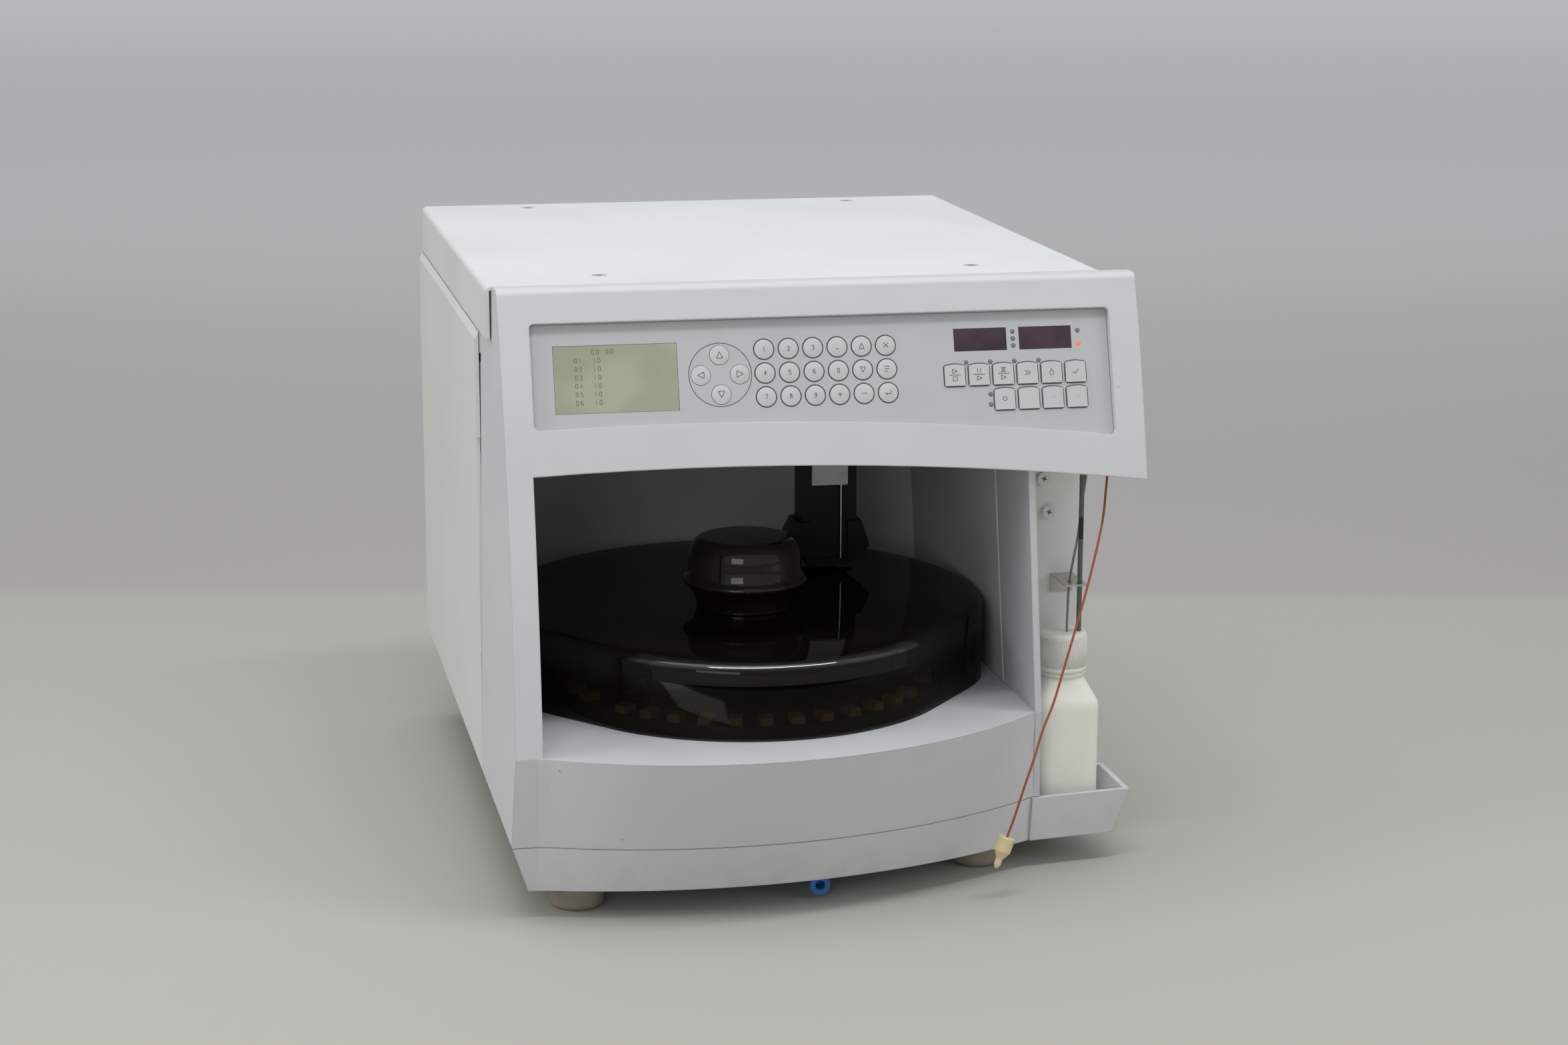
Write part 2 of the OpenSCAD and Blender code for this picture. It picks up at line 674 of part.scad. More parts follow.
module top_cover() {
    low_z = band_z - 14;
    color("white") difference() {
        union() {
            along_y(top_seam_y + gap, back_y) difference() {
                union() {
                    flat([cover_left_x, low_z], [cover_right_x, top_z - 10]);
                    round_flat([cover_left_x, top_z - 40], [cover_right_x, top_z], 4);
                }
                flat([cover_left_x + sheet, low_z - 1], [cover_right_x - sheet, top_z - sheet]);
            }
            block([cover_left_x + 1, back_y - sheet, low_z], [cover_right_x - 1, back_y, top_z - 4]);
        }
        // The side skirts start behind the front's cheek
        block([left_x, nose_y, low_z - 1], [right_x, side_seam_y + gap, band_z]);
        for (at = cover_screws) translate([at[0], at[1], 0]) {
            translate([0, 0, top_z - screw_sink]) cylinder(d = screw_head_d + 2 * run_clear, h = 10);
            translate([0, 0, top_z - 20]) cylinder(d = screw_shank_d + 2 * run_clear, h = 30);
        }
    }
}

module side_profile(taper) {
    inner = sheet;
    polygon([[0, band_z - gap - 5], [inner, band_z - gap], [inner, taper_z],
             [inner + taper * taper_in(cover_z), cover_z], [taper * taper_in(cover_z), cover_z],
                 [0, taper_z]]);
}

module left_side_panel() {
    latch_z = [floor_z + 28, head_z - 3];
    color("whitesmoke") difference() {
        along_y(side_seam_y + gap, back_y) translate([left_x, 0]) side_profile(1);
        for (z = latch_z) block([left_x - 1, side_seam_y, z],
            [left_x + sheet + 1, side_seam_y + 2.4, z + 10]);
    }
}

module right_side_panel() {
    forward_z = arch_z(body_right_x - sheet) + wall + 2 * gap;
    color("whitesmoke") difference() {
        along_y(top_seam_y + gap, back_y) translate([body_right_x, 0]) mirror([1, 0]) side_profile(0);
        block([cover_right_x - wall, nose_y, cover_z - 1], [right_x, side_seam_y + gap, forward_z]);
    }
}

module chassis() {
    low = cover_z;
    deck_x = [left_x + taper_in(cover_z) + sheet + 2 * gap, cover_right_x - sheet - gap];
    rear_y = back_y - 2 * sheet - gap;
    post = 12;
    color("lightgray") difference() {
        union() {
            // Deck, with a tongue under the bay
            block([deck_x[0], side_seam_y + gap, low], [deck_x[1], rear_y + weld, low + sheet]);
            block([cheek_x + gap, nose_y + 98, low], [wall_x(low) - 2, side_seam_y + 1, low + sheet]);
            // Rear wall
            block([deck_x[0], rear_y, low], [deck_x[1], rear_y + sheet, top_z - sheet - run_clear]);
            // Front face of the bottle compartment
            block([wall_x(low) - 2, side_seam_y, low],
                [body_right_x - sheet - gap, side_seam_y + sheet, head_z + 8]);
            // Rear posts under the top cover
            for (x = [deck_x[0], deck_x[1] - post])
                block([x, rear_y - post, low], [x + post, rear_y + weld, top_z - sheet - run_clear]);
        }
        for (at = face_screws) translate([at[0], side_seam_y - 1, at[1]]) rotate([-90, 0, 0])
            cylinder(d = screw_shank_d + 2 * run_clear, h = 10);
    }
}

// Tapered box of the bottle tray, drawn in all round by an inset
module bottle_tray(inset, low, high) {
    difference() {
        along_z(low, high) flat([tray_front_x + inset, tray_front_y - 10],
            [right_x - inset + 1, side_seam_y + wall - inset]);
        translate([right_x - inset, nose_y, seam_z]) rotate([0, base_draft, 0])
            translate([0, 0, -overall_h]) cube([overall_w, overall_d, 2 * overall_h]);
        translate([tray_front_x, tray_front_y, seam_z]) rotate([0, 0, tray_turn]) rotate([tray_draft, 0, 0])
            translate([-overall_w, inset - overall_d, -overall_h])
                cube([2 * overall_w, overall_d, 2 * overall_h]);
    }
}

module base_tray() {
    low = base_z;
    high = seam_z;
    foot_in = plinth_h * tan(base_draft);
    inner_x = left_x + taper_in(high) + wall / cos(base_draft);
    color("whitesmoke") difference() {
        union() {
            // Floor
            along_z(low, low + 3) {
                intersection() {
                    translate([base_nose_x, base_nose_y + base_r])
                        circle(r = base_r - wall / 2, $fn = big_fn);
                    flat([pillar_x - 1, nose_y], [tray_front_x + wall / 2, back_y - wall / 2]);
                }
                flat([left_x, foot_y(pillar_x) + wall / 2], [pillar_x, back_y - wall / 2]);
                flat([tray_front_x, side_seam_y], [body_right_x - wall / 2, back_y - wall / 2]);
            }
            bowed_wall(left_x, tray_front_x + wall / 2, low, high, wall);
            // Left, right and rear walls
            intersection() {
                along_y(nose_y, back_y) polygon([[left_x, high], [inner_x, high],
                    [inner_x + foot_in, low], [left_x, low]]);
                along_x(left_x, pillar_x) polygon([
                    [skirt_y(pillar_x, high) + wall / 2, high], [foot_y(pillar_x) + wall / 2, low],
                        [back_y, low], [back_y, high]]);
            }
            block([left_x, back_y - wall, low], [body_right_x, back_y, high]);
            block([body_right_x - wall, side_seam_y, low], [body_right_x, back_y, high]);
            difference() {
                bottle_tray(0, low, high);
                bottle_tray(wall, low + 3, high + 1);
            }
            // Bosses that carry the deck
            for (at = feet_at) translate([at[0], at[1], low + 1]) cylinder(d = 16, h = plinth_h - 1);
        }
        left_taper_cut();
    }
}

module feet() {
    r = foot_d / 2;
    round = 4;
    color("tan") for (at = feet_at) translate([at[0], at[1], 0]) rotate_extrude() {
        flat([0, 0], [r - round, foot_h]);
        flat([0, round], [r, foot_h]);
        translate([r - round, round]) circle(r = round);
    }
}

module arm_slot(high) {
    swing_w = column_w * sin(arm_angle) + column_d * cos(arm_angle) + 4;
    reach_l = column_w * cos(arm_angle) + column_d * sin(arm_angle) + 4;
    translate([arm_x, arm_y, 0]) rotate([0, 0, arm_angle])
        block([-reach_l / 2 - arm_in, -swing_w / 2, high[0]], [reach_l / 2 + arm_out, swing_w / 2, high[1]]);
}

module chamber_liner() {
    front_y0 = side_seam_y + sheet + gap;
    low = floor_z - wall;
    color("white") difference() {
        union() {
            block([bay_left_x - sheet, front_y0, low], [bay_left_x, bay_back_y + sheet, ceiling_z + sheet]);
            along_y(front_y0, bay_back_y + sheet) polygon([
                [wall_x(low), low], [wall_x(low) + sheet, low],
                [wall_x(ceiling_z + sheet) + sheet, ceiling_z + sheet],
                    [wall_x(ceiling_z + sheet), ceiling_z + sheet]]);
            block([bay_left_x - 1, bay_back_y, low],
                [wall_x(floor_z), bay_back_y + sheet, ceiling_z + sheet]);
            block([bay_left_x - 1, front_y0, ceiling_z],
                [wall_x(ceiling_z) + 1, bay_back_y + 1, ceiling_z + sheet]);
            along_z(low, floor_z) difference() {
                flat([bay_left_x - 1, bay_mid_y + gap], [wall_x(floor_z) + 1, bay_back_y + 1]);
                translate([spin_x, spin_y]) circle(r = well_r);
            }
            // Carousel well, lower in front where it stays under the shelf
            translate([spin_x, spin_y, 0]) difference() {
                translate([0, 0, cup_z]) cylinder(r = well_r + cup_t, h = floor_z - wall / 2 - cup_z);
                translate([0, 0, cup_z + cup_t]) cylinder(r = well_r, h = floor_z - cup_z);
                block([-cover_r, -cover_r, low - gap], [cover_r, bay_mid_y - spin_y + gap, floor_z]);
            }
        }
        arm_slot([ceiling_z - 1, ceiling_z + 10]);
        translate([spin_x, spin_y, cup_z - 1]) cylinder(r = spindle_d / 2 + 3, h = 20);
    }
}

module tray_motor() {
    deck_z = cover_z + sheet;
    color("dimgray") translate([spin_x, spin_y, 0]) {
        translate([0, 0, deck_z]) cylinder(d = 60, h = cup_z - gap - deck_z);
        translate([0, 0, deck_z]) cylinder(d = spindle_d, h = hub_z + 18 - deck_z);
        // Shoulder that the hub sits on
        translate([0, 0, cup_z + cup_t + 1]) cylinder(d = spindle_d + 10,
            h = hub_z - run_clear - cup_z - cup_t - 1);
    }
}

module carousel_hub() {
    color("gray") translate([spin_x, spin_y, 0]) difference() {
        union() {
            translate([0, 0, hub_z]) cylinder(r = hub_r, h = hub_t);
            translate([0, 0, hub_z]) cylinder(r = hub_core_r, h = rack_top_z + 6 - hub_z);
        }
        translate([0, 0, hub_z - 1]) cylinder(d = spindle_d + 2 * run_clear, h = 20);
    }
}

module tray_segment() {
    half = rack_angle / 2;
    difference() {
        intersection() {
            difference() {
                translate([0, 0, rack_z]) cylinder(r = rack_out_r, h = rack_top_z - rack_z);
                translate([0, 0, rack_z - 1]) cylinder(r = rack_in_r, h = 60);
            }
            along_z(0, rack_top_z + 1) polygon([[0, 0], 400 * [cos(-half), sin(-half)], [400, 0],
                                                400 * [cos(half), sin(half)]]);
        }
        for (ring = vial_rings, i = [0:ring[1] - 1])
            rotate([0, 0, (i - (ring[1] - 1) / 2) * rack_angle / (ring[1] + 0.6)])
                translate([ring[0], 0, rack_z + 3]) cylinder(d = vial_d, h = 60, $fn = 32);
    }
    // Raised position tabs at the rim
    for (i = [0:label_count - 1])
        rotate([0, 0, (i - (label_count - 1) / 2) * rack_angle / (label_count + 0.6)])
            block([rack_out_r - 13, -4, rack_top_z - weld], [rack_out_r - 2, 4, rack_top_z + 5]);
}

module tray_segments() {
    color("gold") translate([spin_x, spin_y, 0]) for (i = [0:2]) rotate([0, 0, 30 + 120 * i]) tray_segment();
}

// Solid of the cover's shell: an outer and an inner skin, joined at the rim
module cover_shell() {
    angles = [for (k = [0:cover_steps - 1]) 360 * k / cover_steps - 180];
    outside = [for (a = angles) cover_section(a, 0)];
    inside = [for (a = angles) cover_section(a, dome_wall)];
    levels = len(outside[0]);
    skin = levels * cover_steps + 1;
    points = [for (side = [outside, inside], i = [0:levels])
              each i == levels ? [[0, 0, side == outside ? dome_h : dome_h - dome_wall]]
              : [for (k = [0:cover_steps - 1]) let (p = side[k][i])
                 [p[0] * sin(angles[k]), -p[0] * cos(angles[k]), p[1]]]];
    outer_faces = [for (i = [0:levels - 2], k = [0:cover_steps - 1])
        let (a = i * cover_steps + k, b = i * cover_steps + (k + 1) % cover_steps)
        each [[a, a + cover_steps, b + cover_steps], [a, b + cover_steps, b]]];
    top_faces = [for (k = [0:cover_steps - 1]) let (first = (levels - 1) * cover_steps)
        [first + k, skin - 1, first + (k + 1) % cover_steps]];
    inner_faces = [for (f = concat(outer_faces, top_faces)) [f[0] + skin, f[2] + skin, f[1] + skin]];
    rim_faces = [for (k = [0:cover_steps - 1]) let (n = (k + 1) % cover_steps)
        each [[k, n, n + skin], [k, n + skin, k + skin]]];
    polyhedron(points = points, faces = concat(outer_faces, top_faces, inner_faces, rim_faces));
}

module dome_cover() {
    color([0.25, 0.18, 0.12, 0.75]) difference() {
        translate([spin_x, spin_y, floor_z]) cover_shell();
        // Slot that the needle goes through, along the arm's whole travel
        translate([needle_x, needle_y, 0]) rotate([0, 0, arm_angle])
            along_z(dome_top_z - 2 * dome_round, dome_top_z + dome_round) {
                flat([-arm_in, -needle_slot_r], [arm_out, needle_slot_r]);
                for (x = [-arm_in, arm_out]) translate([x, 0]) circle(r = needle_slot_r);
            }
    }
}

module cover_knob() {
    r = knob_d / 2;
    rim = 0.37 * knob_h;
    color([0.35, 0.22, 0.12, 0.8]) translate([spin_x, spin_y, dome_top_z]) rotate_extrude() polygon([
        [0, 0], [r - 9, 0], [r - 8.5, rim - 14], [r - 6.5, rim - 8], [r - 3, rim - 3], [r - 0.5, rim - 1],
        [r, rim], [r, rim + 1.5], [r - 1, rim + 3.2], [r - 2.6, rim + 5.5], [r - 3.6, rim + 11],
        [r - 4.4, knob_h - 10.5], [r - 5.4, knob_h - 6.5], [r - 7.2, knob_h - 3.2], [r - 9.6, knob_h - 1],
        [r - 12, knob_h], [0, knob_h]]);
}

module arm_rail() {
    block_h = rod_z + 10 - ceiling_z - sheet;
    color("silver") translate([arm_x, arm_y, 0]) rotate([0, 0, arm_angle]) {
        for (x = [-carriage_l / 2 - arm_in - 3 - rail_block_l, carriage_l / 2 + arm_out + 3])
            translate([x, -carriage_w / 2, ceiling_z + sheet]) cube([rail_block_l, carriage_w, block_h]);
        for (y = [-1, 1])
            translate([-carriage_l / 2 - arm_in - 3 - weld, y * rod_spread, rod_z]) rotate([0, 90, 0])
                cylinder(d = rod_d, h = rail_l + 2 * weld);
    }
}

module arm_head_outline() {
    half = arm_head_w / 2;
    polygon([[-half, arm_low_z + 20], [-half + 6, arm_head_top_z], [half - 6, arm_head_top_z],
             [half, arm_low_z + 14], [half - 12, arm_low_z + 4], [half - 20, arm_low_z],
             [-half + 14, arm_low_z], [-half + 10, arm_low_z + 8]]);
}

module needle_arm() {
    carriage_z = ceiling_z + sheet + 4;
    color("black") difference() {
        union() {
            translate([arm_x, arm_y, 0]) rotate([0, 0, arm_angle])
                block([-carriage_l / 2, -carriage_w / 2, carriage_z],
                    [carriage_l / 2, carriage_w / 2, rod_z + 12]);
            block([arm_x - column_w / 2, arm_y - column_d / 2, arm_head_top_z - weld],
                  [arm_x + column_w / 2, arm_y + column_d / 2, carriage_z + weld]);
            along_y(arm_y - arm_head_d / 2, arm_y + arm_head_d / 2) translate([arm_x, 0]) arm_head_outline();
        }
        translate([arm_x, arm_y, 0]) rotate([0, 0, arm_angle]) for (y = [-1, 1])
            translate([-carriage_l, y * rod_spread, rod_z]) rotate([0, 90, 0])
                cylinder(d = rod_d + 2 * run_clear, h = 2 * carriage_l);
        // Groove down the head's front for the needle's slider
        block([arm_x - slider_w / 2 - run_clear, arm_y - arm_head_d, arm_low_z + guide_h],
              [arm_x + slider_w / 2 + run_clear, arm_y - column_d / 2, arm_head_top_z + 1]);
        // Needle guide below the groove
        translate([needle_x, needle_y, arm_low_z - 1]) cylinder(d = needle_d + 2 * run_clear, h = 60);
    }
}

module needle_slider() {
    face_y = arm_y - column_d / 2 - run_clear;
    color("white") difference() {
        union() {
            block([arm_x - slider_w / 2, face_y - slider_t, slider_low_z],
                [arm_x + slider_w / 2, face_y, slider_low_z + slider_h]);
            block([needle_x - 3, face_y - slider_t - 1, slider_low_z],
                [needle_x + 3, face_y, slider_low_z + 8]);
        }
        translate([needle_x, needle_y, slider_low_z - 1]) cylinder(d = needle_d, h = 6);
    }
}

module injection_needle() {
    color("silver") translate([needle_x, needle_y, 0]) {
        translate([0, 0, arm_low_z + 3]) cylinder(d = needle_d, h = slider_low_z + 5 - arm_low_z - 3);
        translate([0, 0, arm_low_z + 1]) cylinder(d1 = needle_d / 4, d2 = needle_d, h = 2);
    }
}

module bottle_outline(inset) {
    size = [bottle_w, bottle_d] / 2 - [inset, inset];
    round_flat(-size, size, 8 - inset / 2);
}

module wash_bottle() {
    color("ivory") translate([bottle_x, bottle_y, 0]) {
        along_z(tray_floor_z, shoulder_z) bottle_outline(0);
        hull() {
            along_z(shoulder_z - 0.1, shoulder_z) bottle_outline(0);
            along_z(neck_z - 0.1, neck_z) circle(r = neck_r + 1, $fn = 32);
        }
        along_z(neck_z - 1, cap_z - 1) circle(r = neck_r + 2);
        along_z(neck_z - 1, cap_z + 12) circle(r = neck_r - 1);
    }
}

module bottle_cap() {
    ribs = 48;
    r = cap_d / 2;
    color("ivory") translate([bottle_x, bottle_y, 0]) difference() {
        union() {
            translate([0, 0, cap_z]) cylinder(r = r - 0.8, h = cap_h);
            for (i = [0:ribs - 1]) rotate([0, 0, i * 360 / ribs])
                block([r - 1.6, -0.5, cap_z + 2], [r, 0.5, cap_top_z - 3]);
        }
        translate([0, 0, cap_z - 1]) cylinder(r = neck_r - 1 + run_clear, h = 14 + run_clear);
    }
}

module wash_tubes() {
    color("darkolivegreen") {
        tube(stout_route, stout_tube_d, 8);
        tube(curve(thin_route, 3), fine_tube_d, 8);
    }
}

module tube_clip() {
    plate_t = 1.5;
    low = [bottle_x - 1.5, stout_route[0][1] - 4];
    high_x = stout_route[0][0] + 4;
    color("silver") difference() {
        union() {
            block([low[0], low[1], clip_z], [high_x, side_seam_y, clip_z + plate_t]);
            block([low[0], side_seam_y - plate_t, clip_z - 11], [high_x, side_seam_y, clip_z + plate_t]);
        }
        translate([stout_route[0][0], stout_route[0][1], clip_z - 1])
            cylinder(d = stout_tube_d + 2 * gap, h = 4);
        translate([bottle_x + 4, bottle_y + 0.6, clip_z - 1]) cylinder(d = fine_tube_d + 4 * gap, h = 4);
    }
}

module capillary() {
    color("indianred") tube(curve(capillary_route, 4), fine_tube_d, 8);
}

module capillary_fitting() {
    last = len(capillary_route) - 1;
    end = capillary_route[last];
    way = heading(capillary_route, last);
    tilt = acos(-way[2]);
    turn = atan2(-way[1], -way[0]);
    color("wheat") translate(end) rotate([0, 0, turn]) rotate([0, tilt, 0]) mirror([0, 0, 1])
        rotate_extrude() polygon([
            [0, 0], [fitting_r - 0.5, 0], [fitting_r, 0.6], [fitting_r, 9.5], [2.6, 14], [2.2, 14],
            [2.2, 18.5], [1, 21], [0, 21]]);
}

module drain_fitting() {
    color("steelblue") translate(drain_at) difference() {
        union() {
            rotate([-90, 0, 0]) cylinder(r = 6.5, h = 12);
            translate([0, 7, 0]) cylinder(r = 4.5, h = base_z - drain_at[2]);
        }
        translate([0, -1, 0]) rotate([-90, 0, 0]) cylinder(r = 3.2, h = 10);
    }
}

module screw(head_h) {
    translate([0, 0, -head_h]) cylinder(d = screw_head_d, h = head_h);
    translate([0, 0, -head_h - 6]) cylinder(d = screw_shank_d, h = 6 + weld);
}

module panel_screws() {
    color("gray") {
        for (at = cover_screws) translate([at[0], at[1], top_z - 0.1]) screw(screw_sink - 0.1);
        for (at = face_screws) translate([at[0], side_seam_y - 2.5, at[1]]) rotate([90, 0, 0]) screw(2.5);
    }
}

front_bezel();
keypad_overlay();
display_board();
top_cover();
left_side_panel();
right_side_panel();
chassis();
base_tray();
feet();
chamber_liner();
tray_motor();
carousel_hub();
tray_segments();
dome_cover();
cover_knob();
arm_rail();
needle_arm();
needle_slider();
injection_needle();
wash_bottle();
bottle_cap();
wash_tubes();
tube_clip();
capillary();
capillary_fitting();
drain_fitting();
panel_screws();
for (i = [1:round_keys]) on_panel() translate(round_key_place(i)) round_key();
for (i = [1:arrow_keys]) on_panel() translate(arrow_key_place(i)) round_key();
for (i = [1:square_keys]) on_panel() translate(square_key_place(i)) square_key();
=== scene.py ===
import json
from math import ceil, cos, hypot, pi, radians, sin, sqrt

import bmesh
import bpy
from mathutils import Matrix, Vector


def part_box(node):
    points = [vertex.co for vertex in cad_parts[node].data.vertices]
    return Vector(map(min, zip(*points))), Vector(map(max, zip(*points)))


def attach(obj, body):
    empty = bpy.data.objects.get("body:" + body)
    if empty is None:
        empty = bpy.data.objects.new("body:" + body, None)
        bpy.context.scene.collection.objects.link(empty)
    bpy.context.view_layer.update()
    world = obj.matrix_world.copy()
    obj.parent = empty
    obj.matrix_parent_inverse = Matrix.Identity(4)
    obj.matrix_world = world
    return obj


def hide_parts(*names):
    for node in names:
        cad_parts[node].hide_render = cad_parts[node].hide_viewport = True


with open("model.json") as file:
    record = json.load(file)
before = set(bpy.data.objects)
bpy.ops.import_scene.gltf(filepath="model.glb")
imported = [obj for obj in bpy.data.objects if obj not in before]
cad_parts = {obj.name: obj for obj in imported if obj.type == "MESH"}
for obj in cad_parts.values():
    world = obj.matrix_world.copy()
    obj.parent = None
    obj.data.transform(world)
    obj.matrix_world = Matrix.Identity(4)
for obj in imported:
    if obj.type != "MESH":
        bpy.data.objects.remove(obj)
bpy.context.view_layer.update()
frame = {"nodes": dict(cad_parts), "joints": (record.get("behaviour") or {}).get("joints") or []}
nodes = frame["nodes"]
scene = bpy.context.scene
scene.view_settings.view_transform = "Standard"
mm = 0.001
print("frame loaded with", len(nodes), "nodes")

# camera at the photograph's angle, placed in millimetres and turned in degrees
shot = {"place": (-408.5, -2002.3, 663.9), "yaw": 11.885, "pitch": 12.77, "roll": 0.142,
        "lens": 69.94, "sensor": 36.0, "clipEnd": 40}
cameraData = bpy.data.cameras.new("camera")
cameraData.lens = shot["lens"]
cameraData.sensor_width = shot["sensor"]
cameraData.sensor_fit = "HORIZONTAL"
cameraData.clip_end = shot["clipEnd"]
camera = bpy.data.objects.new("camera", cameraData)
camera.matrix_world = (Matrix.Translation(Vector(shot["place"]) * mm)
                       @ Matrix.Rotation(-radians(shot["yaw"]), 4, "Z")
                       @ Matrix.Rotation(radians(90 - shot["pitch"]), 4, "X")
                       @ Matrix.Rotation(radians(shot["roll"]), 4, "Z"))
scene.collection.objects.link(camera)
scene.camera = camera


# node trees
class Link:  # one output socket, with maths on it
    def __init__(self, tree, socket):
        self.tree = tree
        self.socket = socket

    def maths(self, operation, first, second):
        return self.tree.node("ShaderNodeMath", {"operation": operation}, {0: first, 1: second})

    def __add__(self, other):
        return self.maths("ADD", self, other)

    def __sub__(self, other):
        return self.maths("SUBTRACT", self, other)

    def __rsub__(self, other):
        return self.maths("SUBTRACT", other, self)

    def __mul__(self, other):
        return self.maths("MULTIPLY", self, other)

    def __pow__(self, other):
        return self.maths("POWER", self, other)

    def __gt__(self, other):
        return self.maths("GREATER_THAN", self, other)

    def __lt__(self, other):
        return self.maths("LESS_THAN", self, other)

    __radd__ = __add__
    __rmul__ = __mul__


class Tree:  # a node tree and its one way to add a node
    def __init__(self, tree):
        self.tree = tree

    def node(self, kind, settings=None, sockets=None, output=0):
        made = self.tree.nodes.new(kind)
        for key, value in (settings or {}).items():
            setattr(made, key, value)
        for key, value in (sockets or {}).items():
            self.feed(made.inputs[key], value)
        if not len(made.outputs):
            return made
        return Link(self, made.outputs[output])

    def feed(self, socket, value):
        if isinstance(value, Link):
            self.tree.links.new(value.socket, socket)
        else:
            socket.default_value = value


def paint(red, green, blue):  # screen colour 0 to 255 as a linear colour
    def straight(v):
        v = v / 255
        return v / 12.92 if v <= 0.04045 else ((v + 0.055) / 1.055) ** 2.4
    return (straight(red), straight(green), straight(blue), 1.0)


def shade(colour, factor):
    return (colour[0] * factor, colour[1] * factor, colour[2] * factor, 1.0)


class Finish(Tree):  # a material with one main shader, its sizes in millimetres
    def __init__(self, name, **fixed):
        self.material = bpy.data.materials.new(name)
        self.material.use_nodes = True
        super().__init__(self.material.node_tree)
        self.shader = self.tree.nodes["Principled BSDF"]
        self.place = self.node("ShaderNodeTexCoord", output="Object")
        for key, value in fixed.items():
            self.drive(key.replace("_", " "), value)

    def drive(self, name, value):  # a value or a link into an input of the shader
        self.feed(self.shader.inputs[name], value)

    def noise(self, size, detail=2.0, stretch=None):
        place = self.place
        if stretch:
            place = self.node("ShaderNodeMapping", {}, {"Vector": place, "Scale": stretch})
        sockets = {"Vector": place, "Scale": 1 / (size * mm), "Detail": detail}
        return self.node("ShaderNodeTexNoise", {}, sockets)

    def cells(self, size, output):
        sockets = {"Vector": self.place, "Scale": 1 / (size * mm)}
        return self.node("ShaderNodeTexVoronoi", {}, sockets, output)

    def axis(self, name):
        return self.node("ShaderNodeSeparateXYZ", {}, {"Vector": self.place}, name)

    def along(self, name, low, high):  # 0 at one place on an axis, 1 at another
        return self.ramp(self.axis(name), low * mm, high * mm)

    def ramp(self, value, low, high):  # 0 at low, 1 at high, soft between
        return self.node("ShaderNodeMapRange", {"interpolation_type": "SMOOTHSTEP"},
                         {"Value": value, "From Min": low, "From Max": high})

    def mix(self, mask, first, second):
        return self.node("ShaderNodeMix", {"data_type": "RGBA"}, {0: mask, 6: first, 7: second}, 2)

    def specks(self, spacing, width, share):  # small marks in some of the cells
        near = self.cells(spacing, "Distance")
        colour = self.cells(spacing, "Color")
        pick = self.node("ShaderNodeSeparateColor", {}, {"Color": colour}, "Red")
        return (near < width / spacing) * (pick > 1 - share)

    def relief(self, height, depth, strength, soft=0.0):
        sockets = {"Height": height, "Distance": depth * mm, "Strength": strength}
        if soft:  # edges look rounded
            sockets["Normal"] = self.node("ShaderNodeBevel", {"samples": 4}, {"Radius": soft * mm})
        self.drive("Normal", self.node("ShaderNodeBump", {}, sockets))

    def finish(self, colour, rough):
        self.drive("Base Color", colour)
        self.drive("Roughness", rough)
        return self.material


# finishes of the housing
def mouldedPlastic(name, look):  # pale moulded plastic with grain, tone drift and small marks
    f = Finish(name, IOR=1.5)
    drift = f.noise(look["drift"], 3)
    grain = f.noise(look["grain"], 2)
    tone = f.mix(f.ramp(drift, 0.3, 0.7), shade(look["colour"], 1 - look["vary"]), look["colour"])
    marks = f.specks(look["markEvery"], look["markWide"], look["markShare"])
    tone = f.mix(marks * f.ramp(drift, 0.42, 0.6) * look["mark"], tone, look["dirt"])
    low = f.along("Z", look["grimeTop"], look["grimeFoot"])
    patch = f.ramp(f.noise(look["grimeWide"], 5), 0.42, 0.75)
    tone = f.mix(low * patch * look["grime"], tone, look["dirt"])
    f.relief(grain, look["depth"], 0.6, look["soft"])
    return f.finish(tone, f.ramp(drift * 0.6 + grain * 0.4, 0.1, 0.95) * 0.16 + look["rough"])


def sprayedSheet(name, look):  # sprayed sheet metal with an orange peel skin
    f = Finish(name, IOR=1.5)
    drift = f.noise(look["drift"], 3)
    peel = f.noise(look["peel"], 1)
    streak = f.noise(look["streakWide"], 4, (1.0, 1.0, 0.08))
    tone = f.mix(f.ramp(drift, 0.3, 0.7), shade(look["colour"], 1 - look["vary"]), look["colour"])
    tone = f.mix(f.ramp(streak, 0.58, 0.8) * look["streak"], tone, look["dirt"])
    marks = f.specks(look["markEvery"], look["markWide"], look["markShare"])
    tone = f.mix(marks * look["mark"], tone, look["dirt"])
    f.relief(peel, look["depth"], 0.5, look["soft"])
    return f.finish(tone, f.ramp(drift, 0.2, 0.8) * 0.1 + look["rough"])


shellLook = {"colour": paint(207, 208, 211), "dirt": paint(120, 112, 100), "vary": 0.03,
             "drift": 70, "grain": 0.7, "depth": 0.035, "rough": 0.40, "soft": 1.3,
             "mark": 0.5, "markEvery": 19, "markWide": 0.75, "markShare": 0.35,
             "grime": 0.06, "grimeTop": 60, "grimeFoot": 22, "grimeWide": 16}
baseLook = dict(shellLook, colour=paint(208, 209, 211), grime=0.1, grimeTop=52)
linerLook = dict(shellLook, colour=paint(212, 212, 212), rough=0.5, grime=0.0)
shellPlastic = mouldedPlastic("shellPlastic", shellLook)
basePlastic = mouldedPlastic("basePlastic", baseLook)
linerPlastic = mouldedPlastic("linerPlastic", linerLook)

